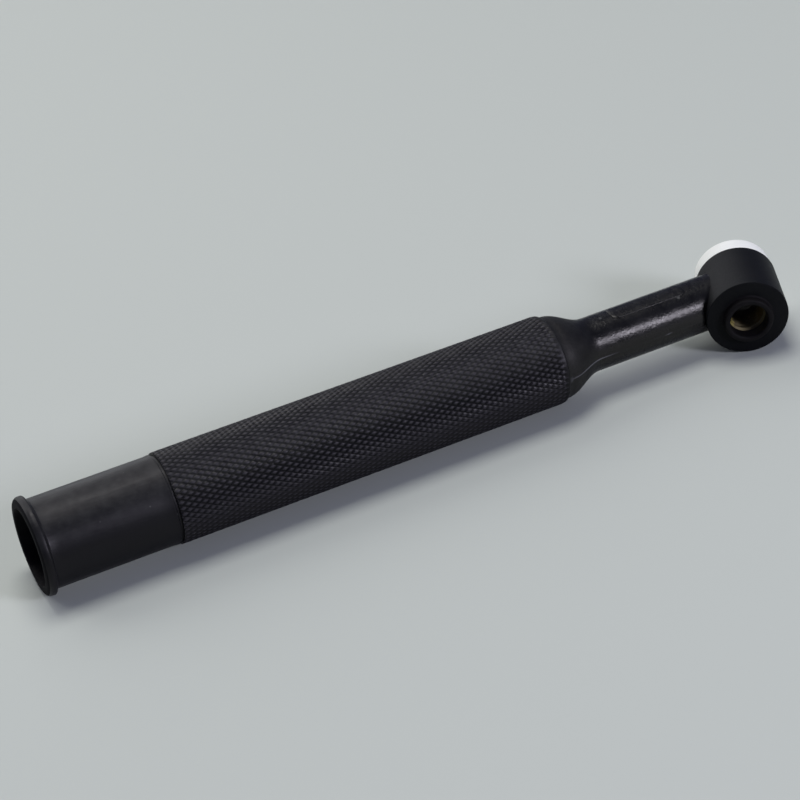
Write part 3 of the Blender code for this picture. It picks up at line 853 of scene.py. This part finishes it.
def metal_finish(name, axis, bright, dull, roughness, bore_shade=None):
    """Turned metal with tool rings, dulled in patches, and with any painted shade on its inside in two tones."""
    material, tree, shader = new_finish(name, {"Metallic": 1.0})
    marks = add_marks(tree, axis, mark_scale=11000.0)
    grain = add_grain(tree, grain_scale=3200.0, patch_scale=320.0)
    dulled = ramp(tree, grain.outputs["Patches"], low=0.45, high=1.0, to_high=0.7)
    metal = blend_colours(tree, dulled, bright, dull)
    if bore_shade:
        mouth_shade, deep_shade = bore_shade
        # Painted shade: darker, duller and less metallic at the mouth and in the depth, bright on a painted
        # highlight patch
        inside = stored(tree, "inside")
        metal = blend_colours(tree, ramp(tree, inside, low=0.0, high=0.5), metal, mouth_shade)
        metal = blend_colours(tree, ramp(tree, inside, low=0.5, high=1.0), metal, deep_shade)
        rough = spread(tree, inside, low=roughness, high=0.85)
        bare = ramp(tree, inside, low=0.4, high=0.9, to_low=1.0, to_high=0.0)
        tree.links.new(bare, shader.inputs["Metallic"])
    else:
        rough = spread(tree, grain.outputs["Patches"], low=roughness - 0.06, high=roughness + 0.14)
    tree.links.new(metal, shader.inputs["Base Color"])
    tree.links.new(rough, shader.inputs["Roughness"])
    add_bump(tree, shader, marks.outputs["Marks"], distance=0.000006)
    return material


# Pieces


def knurled_grip(name, sizes):
    """Open sleeve of raised diamonds, cut square at both ends and left in edit mode."""
    start = sizes.tail_length
    end = sizes.full_length - sizes.front_plain
    row = (end - start) / sizes.knurl_rows
    valley = sizes.grip_radius - sizes.knurl_depth
    low = start - row * KNURL_LEAD
    piece = start_ring(name, sizes.knurl_count, valley, low)
    draw([(valley, low + row * index) for index in range(sizes.knurl_rows + KNURL_SPARE_RINGS)])
    point_outwards()
    bpy.ops.mesh.poke()
    shape = bmesh.from_edit_mesh(piece.data)
    for vert in shape.verts:
        set_reach(vert, valley)
    bmesh.update_edit_mesh(piece.data)

    def is_grid_edge(edge):
        rows = [(vert.co.z - low) / row for vert in edge.verts]
        return not edge.is_boundary and all(abs(place - round(place)) < KNURL_OFF_RING for place in rows)

    select_where(piece, "EDGE", is_grid_edge)
    bpy.ops.mesh.dissolve_edges(use_verts=False)
    point_outwards()
    bpy.ops.mesh.inset(thickness=sizes.knurl_flank, depth=sizes.knurl_depth, use_individual=True)
    for height, side in ((start, "clear_inner"), (end, "clear_outer")):
        bpy.ops.mesh.select_all(action="SELECT")
        bpy.ops.mesh.bisect(plane_co=(0.0, 0.0, height), plane_no=(0.0, 0.0, 1.0), **{side: True})
    return piece


def round_off(piece, radius, height):
    """Extrude the selected ragged loop to a true circle."""
    bpy.ops.mesh.extrude_edges_move()
    shape = bmesh.from_edit_mesh(piece.data)
    for vert in shape.verts:
        if vert.select:
            set_reach(vert, radius)
            vert.co.z = height
    bmesh.update_edit_mesh(piece.data)


def mark_tips(piece, sizes):
    """Store how near each point is to a tip of the knurl: 0 in a valley, 1 on a tip, 0.5 off the knurl."""
    tip = piece.data.attributes.new("tip", "FLOAT", "POINT")
    valley = sizes.grip_radius - sizes.knurl_depth
    for vert in piece.data.vertices:
        share = 0.5
        if vert.co.z > sizes.tail_length:
            share = within_one((reach_of(vert.co) - valley) / sizes.knurl_depth)
        tip.data[vert.index].value = share


class TORCH_OT_handle(bpy.types.Operator):
    """Model the handle: knurled grip, smooth tail, rear lip and bore"""
    bl_idname = "torch.handle"
    bl_label = "Handle"

    def execute(self, context):
        sizes = context.scene.torch_handle
        piece = knurled_grip("knurled_handle", sizes)
        middle = sizes.full_length / 2.0
        select_where(piece, "EDGE", lambda edge: edge.is_boundary and edge.verts[0].co.z < middle)
        outline = self.outline(sizes)
        round_off(piece, *outline[0])
        draw(outline)
        close_ring(piece)
        bpy.ops.object.mode_set(mode="OBJECT")
        mark_tips(piece, sizes)
        bpy.ops.object.mode_set(mode="EDIT")
        axis = handle_frame()
        lay(piece, axis)
        present(piece, [nylon_finish(sizes), cut_finish(sizes)], "handle", "handle")
        face_depth = sizes.lip_face_rounding * LIP_FACE_DEPTH
        paint(piece, 1, axis, lambda place: place.z < face_depth)
        return {"FINISHED"}

    def outline(self, sizes):
        """Outline from the groove behind the knurl over tail, lip and bore to the grip's front edge."""
        tail = sizes.tail_radius
        groove = tail - sizes.groove_depth
        bead_end = sizes.tail_length - sizes.groove_width
        bead_start = bead_end - sizes.bead_width
        foot = sizes.lip_width + sizes.lip_fillet
        lip_edge = sizes.lip_rounding
        lip_face = sizes.lip_face_rounding
        mouth = sizes.bore_radius + sizes.mouth_chamfer
        bore_front = sizes.full_length - sizes.mouth_chamfer
        front_edge = sizes.front_rounding
        band = sizes.grip_radius - sizes.bead_height
        points = [
            (groove, sizes.tail_length),
            (groove, bead_end),
            (tail + sizes.bead_height, bead_end - sizes.bead_width * BEAD_CREST),
            (tail + sizes.bead_height * BEAD_SLOPE_HEIGHT, bead_end - sizes.bead_width * BEAD_SLOPE),
            (tail, bead_start),
        ]
        points += stations(tail, bead_start, foot, TAIL_STEP)
        points += corner(tail + sizes.lip_fillet, foot, sizes.lip_fillet, 180.0, 270.0)[1:]
        points += corner(sizes.lip_radius - lip_edge, sizes.lip_width - lip_edge, lip_edge, 90.0, 0.0)
        points += corner(sizes.lip_radius - lip_face, lip_face, lip_face, 0.0, -90.0)
        points += [(mouth, 0.0), (sizes.bore_radius, sizes.mouth_chamfer)]
        points += stations(sizes.bore_radius, sizes.mouth_chamfer, bore_front, BORE_STEP)
        points.append((mouth, sizes.full_length))
        points += corner(band - front_edge, sizes.full_length - front_edge, front_edge, 90.0, 0.0)
        return points


def neck_outline(handle, sizes):
    """Outline of the spigot with its ribs, the shoulder and the neck, ringed at the ends of the pad."""
    shoulder_back = handle.full_length + SNUG
    spigot_back = handle.full_length + GAP - sizes.spigot_length
    rib_radius = handle.bore_radius - GAP
    points = [(sizes.spigot_radius, spigot_back)]
    for rib in range(sizes.rib_count):
        middle = spigot_back + sizes.spigot_length * (rib + 0.5) / sizes.rib_count
        points += [
            (sizes.spigot_radius, middle - sizes.rib_width / 2.0),
            (rib_radius, middle - sizes.rib_top_width / 2.0),
            (rib_radius, middle + sizes.rib_top_width / 2.0),
            (sizes.spigot_radius, middle + sizes.rib_width / 2.0),
        ]
    points.append((sizes.spigot_radius, shoulder_back))
    points.append((sizes.shoulder_radius + sizes.collar_rise, shoulder_back))
    ogee_back = shoulder_back + sizes.shoulder_collar
    steps = math.ceil(sizes.shoulder_length / SHOULDER_STEP)
    for step in range(steps + 1):
        swell = (1.0 + math.cos(math.pi * step / steps)) / 2.0
        radius = sizes.neck_radius + (sizes.shoulder_radius - sizes.neck_radius) * swell
        points.append((radius, ogee_back + sizes.shoulder_length * step / steps))
    head = handle.full_length + sizes.head_reach
    pad_end = head - sizes.pad_from_head + sizes.pad_length / 2.0
    places = [points[-1][1], pad_end - sizes.pad_length, pad_end, head]
    for start, end in zip(places, places[1:]):
        points += stations(sizes.neck_radius, start, end, RING_STEP)
    return points


def raise_pad(piece, handle, sizes):
    """Raise the bare pad out of the crown of the neck, with round corners and a soft edge."""
    head = handle.full_length + sizes.head_reach
    middle = head - sizes.pad_from_head
    half = sizes.pad_length / 2.0
    side_turn = 2.0 * math.pi / NECK_SIDES * PAD_COLUMNS
    half_width = sizes.neck_radius * math.sin(side_turn)

    def on_crown(place):
        outside = reach_of(place) > sizes.neck_radius * NECK_OUTSIDE
        off_crown = abs(math.atan2(place.y, -place.x))
        return outside and off_crown < side_turn + PAD_SPARE_TURN

    shape = bmesh.from_edit_mesh(piece.data)
    for vert in shape.verts:
        along = vert.co.z - middle
        if on_crown(vert.co) and abs(abs(along) - half) < WELD:
            over = max(0.0, abs(vert.co.y) - half_width + sizes.pad_corner)
            over = min(over, sizes.pad_corner)
            inset = sizes.pad_corner - math.sqrt(sizes.pad_corner ** 2 - over ** 2)
            vert.co.z -= math.copysign(inset, along)
    bmesh.update_edit_mesh(piece.data)
    point_outwards()

    def on_pad(face):
        place = face.calc_center_median()
        return on_crown(place) and abs(place.z - middle) < half

    select_where(piece, "FACE", on_pad)
    bpy.ops.mesh.extrude_region_shrink_fatten(TRANSFORM_OT_shrink_fatten={"value": sizes.pad_proud})
    bpy.ops.mesh.region_to_loop()
    bpy.ops.mesh.bevel(offset=sizes.pad_rounding, segments=PAD_EDGE_STEPS, affect="EDGES")


def raise_flash(piece, handle, sizes):
    """Raise the thin uneven flash where the mould's halves met, on both sides of shoulder and neck."""
    start = handle.full_length + SNUG
    end = handle.full_length + sizes.head_reach

    def on_parting(vert):
        outside = abs(vert.co.y) > sizes.neck_radius * NECK_OUTSIDE
        return abs(vert.co.x) < WELD and outside and start < vert.co.z < end - RING_STEP

    select_where(piece, "EDGE", lambda edge: all(on_parting(vert) for vert in edge.verts))
    bpy.ops.mesh.bevel(offset=sizes.flash_width / 2.0, segments=2, affect="EDGES")
    shape = bmesh.from_edit_mesh(piece.data)
    for vert in shape.verts:
        if on_parting(vert):
            along = vert.co.z - start
            waves = sum(size * math.sin(along * turn + phase) for size, turn, phase in FLASH_WAVES)
            fade = max(FLASH_LEAST, 1.0 - along / (sizes.shoulder_length * FLASH_REACH))
            vert.co.y += math.copysign(sizes.flash_height * (FLASH_MEAN + waves) * fade, vert.co.y)
    bmesh.update_edit_mesh(piece.data)


class TORCH_OT_cover(bpy.types.Operator):
    """Model the moulded cover: spigot, shoulder, neck with bare pad and flash, and barrel"""
    bl_idname = "torch.cover"
    bl_label = "Moulded cover"

    def execute(self, context):
        handle = context.scene.torch_handle
        sizes = context.scene.torch_cover
        head = context.scene.torch_head
        inlet = context.scene.torch_inlet
        station = handle.full_length + sizes.head_reach
        on_handle = handle_frame()
        on_head = head_frame(station)
        outline = neck_outline(handle, sizes)
        piece = start_ring("moulded_cover", NECK_SIDES, *outline[0])
        draw(outline)
        cap_ends()
        raise_pad(piece, handle, sizes)
        raise_flash(piece, handle, sizes)
        lay(piece, on_handle)
        combine(piece, self.barrel(sizes, on_head), "UNION")
        cut_radius = sizes.barrel_radius * FRONT_CUT_REACH
        front = [(cut_radius, sizes.barrel_front), (cut_radius, station)]
        combine(piece, turned_rod("front_cut", ROUND_SIDES, front, on_head), "DIFFERENCE")
        combine(piece, self.head_hole(sizes, head, on_head), "DIFFERENCE")
        combine(piece, self.tube_hole(handle, sizes, head, inlet, on_handle), "DIFFERENCE")
        gloss_start = on_handle.translation.dot(ALONG_HANDLE) + handle.full_length
        gloss_start += sizes.shoulder_collar + sizes.shoulder_length
        neck = neck_finish(sizes, gloss_start - sizes.shoulder_length / 2.0, gloss_start)
        side = barrel_finish("dull_black_moulding", sizes.barrel_colour, specular=0.18)
        # The back face takes a darker copy of the barrel's finish: painted shade
        face = barrel_finish("dull_black_face", shade(sizes.barrel_colour, share=0.8), specular=0.10)
        present(piece, [neck, side, face], "torch", "torch_cover")
        self.mark_flash(piece, handle, sizes, on_handle)
        reach = sizes.barrel_radius * BARREL_OUTSIDE
        back = -sizes.barrel_back + sizes.barrel_rounding / 2.0
        paint(piece, 1, on_head, lambda place: reach_of(place) < reach)
        # Painted shade: the back face gets the darker copy
        paint(piece, 2, on_head, lambda place: reach_of(place) < reach and place.z < back)
        return {"FINISHED"}

    def mark_flash(self, piece, handle, sizes, on_handle):
        """Store how strong the painted highlight on the crest of the flash is, from 0 to 1."""
        flash = piece.data.attributes.new("flash", "FLOAT", "POINT")
        to_handle = on_handle.inverted()
        for vert in piece.data.vertices:
            place = to_handle @ vert.co
            along = place.z - handle.full_length
            if along > 0.0 and abs(place.y) > sizes.neck_radius and abs(place.x) < FLASH_CREST:
                rise = FLASH_START_TONE + (1.0 - FLASH_START_TONE) * along / sizes.flash_rise
                fade = (sizes.flash_end - along) / (sizes.flash_end - sizes.flash_fade)
                tone = max(FLASH_FAINT_TONE, min(1.0, rise, fade))
                if abs(along - sizes.flash_nib) < RING_STEP / 2.0:
                    tone = FLASH_NIB_TONE
                flash.data[vert.index].value = tone

    def barrel(self, sizes, on_head):
        """Short solid barrel with softened edges."""
        soft = sizes.barrel_rounding
        flat = sizes.barrel_radius - soft
        back = -sizes.barrel_back + soft
        front = sizes.barrel_front - soft
        outline = corner(flat, back, soft, -90.0, 0.0)
        outline += stations(sizes.barrel_radius, back, front, RING_STEP)
        outline += corner(flat, front, soft, 0.0, 90.0)[1:]
        return turned_rod("barrel", ROUND_SIDES, outline, on_head)

    def head_hole(self, sizes, head, on_head):
        """Stepped hole that holds the seat and the core."""
        seat_front = -sizes.barrel_back - head.seat_proud + head.seat_length
        back = -sizes.barrel_back - OVERRUN
        front = sizes.barrel_front + OVERRUN
        snug = head.seat_radius + SNUG
        outline = [(snug, back), (snug, seat_front)]
        outline += [(head.core_radius + GAP, seat_front), (head.core_radius + GAP, front)]
        return turned_rod("head_hole", ROUND_SIDES, outline, on_head)

    def tube_hole(self, handle, sizes, head, inlet, on_handle):
        """Stepped hole that holds the gas tube, its braze rings and the core's boss."""
        spigot_back = handle.full_length + GAP - sizes.spigot_length
        station = handle.full_length + sizes.head_reach
        boss_back = station - head.boss_reach - head.boss_wall - 2.0 * GAP
        narrow = inlet.tube_radius + GAP
        wide = narrow + head.boss_wall + GAP
        ring_end = spigot_back + head.boss_wall + GAP
        outline = [(wide, spigot_back - OVERRUN), (wide, ring_end), (narrow, ring_end)]
        outline += [(narrow, boss_back), (wide, boss_back), (wide, station)]
        return turned_rod("tube_hole", TUBE_SIDES, outline, on_handle)


class TORCH_OT_seat(bpy.types.Operator):
    """Model the ring that the back cap seats on"""
    bl_idname = "torch.seat"
    bl_label = "Back cap seat"

    def execute(self, context):
        sizes = context.scene.torch_head
        cover = context.scene.torch_cover
        back = -cover.barrel_back - sizes.seat_proud
        front = back + sizes.seat_length
        soft = sizes.seat_rounding
        outline = corner(sizes.seat_bore_radius + soft, back + soft, soft, 180.0, 270.0)
        outline += corner(sizes.seat_radius - soft, back + soft, soft, -90.0, 0.0)
        flare = sizes.seat_flare
        foot = -cover.barrel_back - SNUG
        outline += corner(sizes.seat_radius + flare, foot - flare, flare, 180.0, 90.0)
        outline += [(sizes.seat_radius, foot), (sizes.seat_radius, front)]
        outline.append((sizes.seat_bore_radius, front))
        axis = head_frame(context.scene.torch_handle.full_length + cover.head_reach)
        piece = turned_ring("seat_ring", ROUND_SIDES, outline, axis)
        present(piece, [seat_finish(sizes)], "torch", "back_cap_seat")
        return {"FINISHED"}


class TORCH_OT_core(bpy.types.Operator):
    """Model the brass core: threaded at both ends, with a side boss for the gas tube"""
    bl_idname = "torch.core"
    bl_label = "Brass core"

    def execute(self, context):
        handle = context.scene.torch_handle
        cover = context.scene.torch_cover
        sizes = context.scene.torch_head
        inlet = context.scene.torch_inlet
        station = handle.full_length + cover.head_reach
        on_handle = handle_frame()
        on_head = head_frame(station)
        back = -cover.barrel_back - sizes.seat_proud + sizes.seat_length + GAP
        nose_front = cover.barrel_front + sizes.nose_length
        cut = sizes.core_chamfer
        blank = [(sizes.core_radius - cut, back), (sizes.core_radius, back + cut)]
        blank += [(sizes.core_radius, cover.barrel_front), (sizes.nose_radius, cover.barrel_front)]
        blank += [(sizes.nose_radius, nose_front - cut), (sizes.nose_radius - cut, nose_front)]
        piece = turned_rod("brass_core", ROUND_SIDES, blank, on_head)
        boss_back = station - sizes.boss_reach
        hole = inlet.tube_radius + GAP
        boss = [(hole + sizes.boss_wall, boss_back), (hole + sizes.boss_wall, station)]
        combine(piece, turned_rod("boss", TUBE_SIDES, boss, on_handle), "UNION")
        combine(piece, self.bore(sizes, back, nose_front, on_head), "DIFFERENCE")
        socket_end = boss_back + sizes.socket_depth
        socket = [(hole, boss_back - OVERRUN), (hole, socket_end)]
        socket += [(sizes.gas_drill_radius, socket_end), (sizes.gas_drill_radius, station)]
        combine(piece, turned_rod("socket", TUBE_SIDES, socket, on_handle), "DIFFERENCE")
        self.mark_inside(piece, sizes, back, nose_front, on_head)
        # The bore is painted: shade at the mouth and in the depth, and a bright patch as its highlight
        brass = metal_finish("turned_brass", TO_CUP, sizes.brass_colour, sizes.tarnish_colour,
                             roughness=0.26, bore_shade=(sizes.soot_colour, sizes.depth_colour))
        present(piece, [brass], "torch", "head_core")
        return {"FINISHED"}

    def mark_inside(self, piece, sizes, back, front, on_head):
        """Store the bore's painted shade: 0 on a painted highlight patch, 0.5 near the mouth, 1 in the depth."""
        inside = piece.data.attributes.new("inside", "FLOAT", "POINT")
        widest = sizes.thread_radius + sizes.thread_depth + WELD
        to_head = on_head.inverted()
        for vert in piece.data.vertices:
            place = to_head @ vert.co
            if reach_of(place) < widest and place.z < front - sizes.thread_depth:
                off_side = (math.atan2(place.y, place.x) - sizes.clean_turn) / sizes.clean_spread
                off_mouth = (place.z - back - sizes.clean_place) / sizes.clean_depth
                off_highlight = within_one((math.hypot(off_side, off_mouth) - HIGHLIGHT_MIDDLE) / HIGHLIGHT_EDGE)
                deep = within_one(off_mouth - 1.0)
                inside.data[vert.index].value = (off_highlight + deep) / 2.0

    def bore(self, sizes, back, front, on_head):
        """Through bore with a thread and a coned mouth at each end."""
        crest = sizes.thread_radius
        mouth = crest + sizes.thread_depth + OVERRUN
        plain = sizes.core_bore_radius
        taper = crest - plain
        cap_start = back + sizes.thread_depth
        cap_end = back + sizes.cap_thread_length
        collet_start = front - sizes.collet_thread_length
        collet_end = front - sizes.thread_depth
        outline = [(mouth, back - OVERRUN), (crest, cap_start)]
        outline += thread_wall(crest, cap_start, cap_end, sizes.thread_pitch)
        outline += [(plain, cap_end + taper), (plain, collet_start - taper)]
        outline.append((crest, collet_start))
        outline += thread_wall(crest, collet_start, collet_end, sizes.thread_pitch)
        outline.append((mouth, front + OVERRUN))
        tool = start_ring("bore", THREAD_SIDES, *outline[0])
        draw(outline)
        cap_ends()
        for start, end in ((cap_start, cap_end), (collet_start, collet_end)):
            cut_thread(tool, start, end, sizes.thread_pitch, sizes.thread_depth)
        return lay(tool, on_head)


class TORCH_OT_gasket(bpy.types.Operator):
    """Model the white gasket that the cup seats on"""
    bl_idname = "torch.gasket"
    bl_label = "Cup gasket"

    def execute(self, context):
        cover = context.scene.torch_cover
        sizes = context.scene.torch_head
        back = cover.barrel_front + GAP
        front = cover.barrel_front + sizes.gasket_length
        step = cover.barrel_front + sizes.nose_length + GAP
        soft = sizes.gasket_rounding
        edge = soft * GASKET_EDGE
        outline = [(sizes.gasket_bore_radius, step), (sizes.nose_radius + GAP, step)]
        outline.append((sizes.nose_radius + GAP, back))
        outline += corner(sizes.gasket_radius - edge, back + edge, edge, -90.0, 0.0)
        outline += corner(sizes.gasket_radius - soft, front - soft, soft, 0.0, 90.0)
        outline += corner(sizes.gasket_bore_radius + edge, front - edge, edge, 90.0, 180.0)
        axis = head_frame(context.scene.torch_handle.full_length + cover.head_reach)
        piece = turned_ring("white_gasket", ROUND_SIDES, outline, axis)
        present(piece, [gasket_finish(sizes)], "gasket", "cup_gasket")
        return {"FINISHED"}


class TORCH_OT_nipple(bpy.types.Operator):
    """Model the brass nipple behind the spigot: a bevelled hexagon and a male thread"""
    bl_idname = "torch.nipple"
    bl_label = "Cable nipple"

    def execute(self, context):
        handle = context.scene.torch_handle
        cover = context.scene.torch_cover
        head = context.scene.torch_head
        sizes = context.scene.torch_inlet
        axis = handle_frame()
        hexagon_front = handle.full_length - cover.spigot_length
        hexagon_back = hexagon_front - sizes.hexagon_length
        back = hexagon_back - sizes.stub_length
        start = back + sizes.stub_chamfer
        end = hexagon_back - head.thread_pitch
        outline = [(sizes.stub_radius - sizes.stub_chamfer, back), (sizes.stub_radius, start)]
        outline += thread_wall(sizes.stub_radius, start, end, head.thread_pitch)
        outline.append((sizes.stub_radius, hexagon_back + OVERRUN))
        piece = start_ring("threaded_nipple", THREAD_SIDES, *outline[0])
        draw(outline)
        cap_ends()
        cut_thread(piece, start, end, head.thread_pitch, head.thread_depth)
        lay(piece, axis)
        combine(piece, self.hexagon(sizes, hexagon_back, hexagon_front, axis), "UNION")
        hole = sizes.tube_radius + GAP
        socket = hexagon_front - head.socket_depth
        bore = [(sizes.stub_bore_radius, back - OVERRUN), (sizes.stub_bore_radius, socket)]
        bore += [(hole, socket), (hole, hexagon_front + OVERRUN)]
        combine(piece, turned_rod("bore", TUBE_SIDES, bore, axis), "DIFFERENCE")
        brass = metal_finish("nipple_brass", ALONG_HANDLE, head.brass_colour, head.tarnish_colour,
                             roughness=0.32)
        present(piece, [brass], "torch", "cable_nipple")
        return {"FINISHED"}

    def hexagon(self, sizes, back, front, axis):
        """Hexagon with bevelled ends."""
        radius = sizes.hexagon_flats / 2.0 / math.cos(math.pi / HEXAGON_SIDES)
        tool = start_ring("hexagon", HEXAGON_SIDES, radius, back)
        draw([(radius, back), (radius, front)])
        cap_ends()
        select_where(tool, "EDGE", lambda edge: abs(edge.verts[0].co.z - edge.verts[1].co.z) < WELD)
        bpy.ops.mesh.bevel(offset=sizes.hexagon_bevel, segments=1, affect="EDGES")
        return lay(tool, axis)


class TORCH_OT_tube(bpy.types.Operator):
    """Give the gas tube and its braze rings their metal finishes"""
    bl_idname = "torch.tube"
    bl_label = "Gas tube and braze"

    def execute(self, context):
        sizes = context.scene.torch_inlet
        copper = metal_finish("drawn_copper", ALONG_HANDLE, sizes.copper_colour,
                              shade(sizes.copper_colour, share=0.4), roughness=0.36)
        braze = metal_finish("braze_metal", ALONG_HANDLE, sizes.braze_colour,
                             shade(sizes.braze_colour, share=0.5), roughness=0.42)
        finishes = {"gas_tube": copper, "braze_ring_head": braze, "braze_ring_nipple": braze}
        for node, finish in finishes.items():
            for slot in frame["nodes"][node].material_slots:
                slot.material = finish
        return {"FINISHED"}


class TORCH_OT_stage(bpy.types.Operator):
    """Set the floor, the lamps and the camera"""
    bl_idname = "torch.stage"
    bl_label = "Stage"

    def execute(self, context):
        settings = context.scene.torch_stage
        self.floor(settings)
        self.sky(context.scene, settings)
        lamps = {name: self.lamp(name, getattr(settings, f"{name}_power")) for name in LAMPS}
        lamps["front"].data.color = settings.front_colour
        self.camera(context.scene, settings)
        context.scene.view_settings.view_transform = "Standard"
        return {"FINISHED"}

    def floor(self, settings):
        """Wide plain floor."""
        bpy.ops.object.select_all(action="DESELECT")
        bpy.ops.mesh.primitive_plane_add(size=FLOOR_SIZE, location=(0.0, 0.0, -FLOOR_DROP))
        plane = bpy.context.object
        plane.name = "floor"
        finish = new_finish("pale_floor", {
            "Base Color": (*settings.floor_colour, 1.0), "Roughness": 0.6, "Specular IOR Level": 0.25})
        plane.data.materials.append(finish[0])

    def sky(self, scene, settings):
        """Even light from all round."""
        world = bpy.data.worlds.new("soft_sky")
        world.use_nodes = True
        background = world.node_tree.nodes["Background"]
        background.inputs["Color"].default_value = (*settings.sky_colour, 1.0)
        background.inputs["Strength"].default_value = settings.sky_strength
        scene.world = world

    def lamp(self, name, watts):
        """Area lamp that points at the middle of the torch."""
        place, width, height = LAMPS[name]
        bpy.ops.object.light_add(type="AREA", location=place)
        lamp = bpy.context.object
        lamp.name = f"{name}_lamp"
        lamp.data.shape = "RECTANGLE"
        lamp.data.size = width
        lamp.data.size_y = height
        lamp.data.energy = watts
        lamp.rotation_euler = (-Vector(place)).to_track_quat("-Z", "Y").to_euler()
        return lamp

    def camera(self, scene, settings):
        """Camera at the photograph's viewing angle."""
        bpy.ops.object.camera_add(location=settings.camera_place, rotation=settings.camera_turn)
        camera = bpy.context.object
        camera.name = "camera"
        camera.data.lens = settings.lens
        camera.data.sensor_width = SENSOR_WIDTH
        camera.data.clip_start = CLIP_START
        scene.camera = camera


class TORCH_PT_panel(bpy.types.Panel):
    """Sidebar panel with a button for each piece"""
    bl_idname = "TORCH_PT_panel"
    bl_label = "Welding torch body"
    bl_space_type = "VIEW_3D"
    bl_region_type = "UI"
    bl_category = "Torch"

    def draw(self, context):
        for operator in OPERATORS:
            self.layout.operator(operator.bl_idname)
        for name in SETTINGS:
            box = self.layout.box()
            group = getattr(context.scene, name)
            for label in group.__annotations__:
                box.prop(group, label)


SETTINGS = {
    "torch_handle": TorchHandleSizes,
    "torch_cover": TorchCoverSizes,
    "torch_head": TorchHeadSizes,
    "torch_inlet": TorchInletSizes,
    "torch_stage": TorchStageSettings,
}
OPERATORS = (
    TORCH_OT_handle,
    TORCH_OT_cover,
    TORCH_OT_seat,
    TORCH_OT_core,
    TORCH_OT_gasket,
    TORCH_OT_nipple,
    TORCH_OT_tube,
    TORCH_OT_stage,
)


def register():
    """Register the settings, the operators and the panel."""
    for name, group in SETTINGS.items():
        bpy.utils.register_class(group)
        setattr(bpy.types.Scene, name, PointerProperty(type=group))
    for operator in OPERATORS:
        bpy.utils.register_class(operator)
    bpy.utils.register_class(TORCH_PT_panel)


def unregister():
    """Remove the panel, the operators and the settings."""
    bpy.utils.unregister_class(TORCH_PT_panel)
    for operator in reversed(OPERATORS):
        bpy.utils.unregister_class(operator)
    for name, group in reversed(SETTINGS.items()):
        delattr(bpy.types.Scene, name)
        bpy.utils.unregister_class(group)


def main():
    """Build every piece and the stage."""
    register()
    bpy.ops.torch.handle()
    bpy.ops.torch.cover()
    bpy.ops.torch.seat()
    bpy.ops.torch.core()
    bpy.ops.torch.gasket()
    bpy.ops.torch.nipple()
    bpy.ops.torch.tube()
    bpy.ops.torch.stage()


if __name__ == "__main__":
    main()
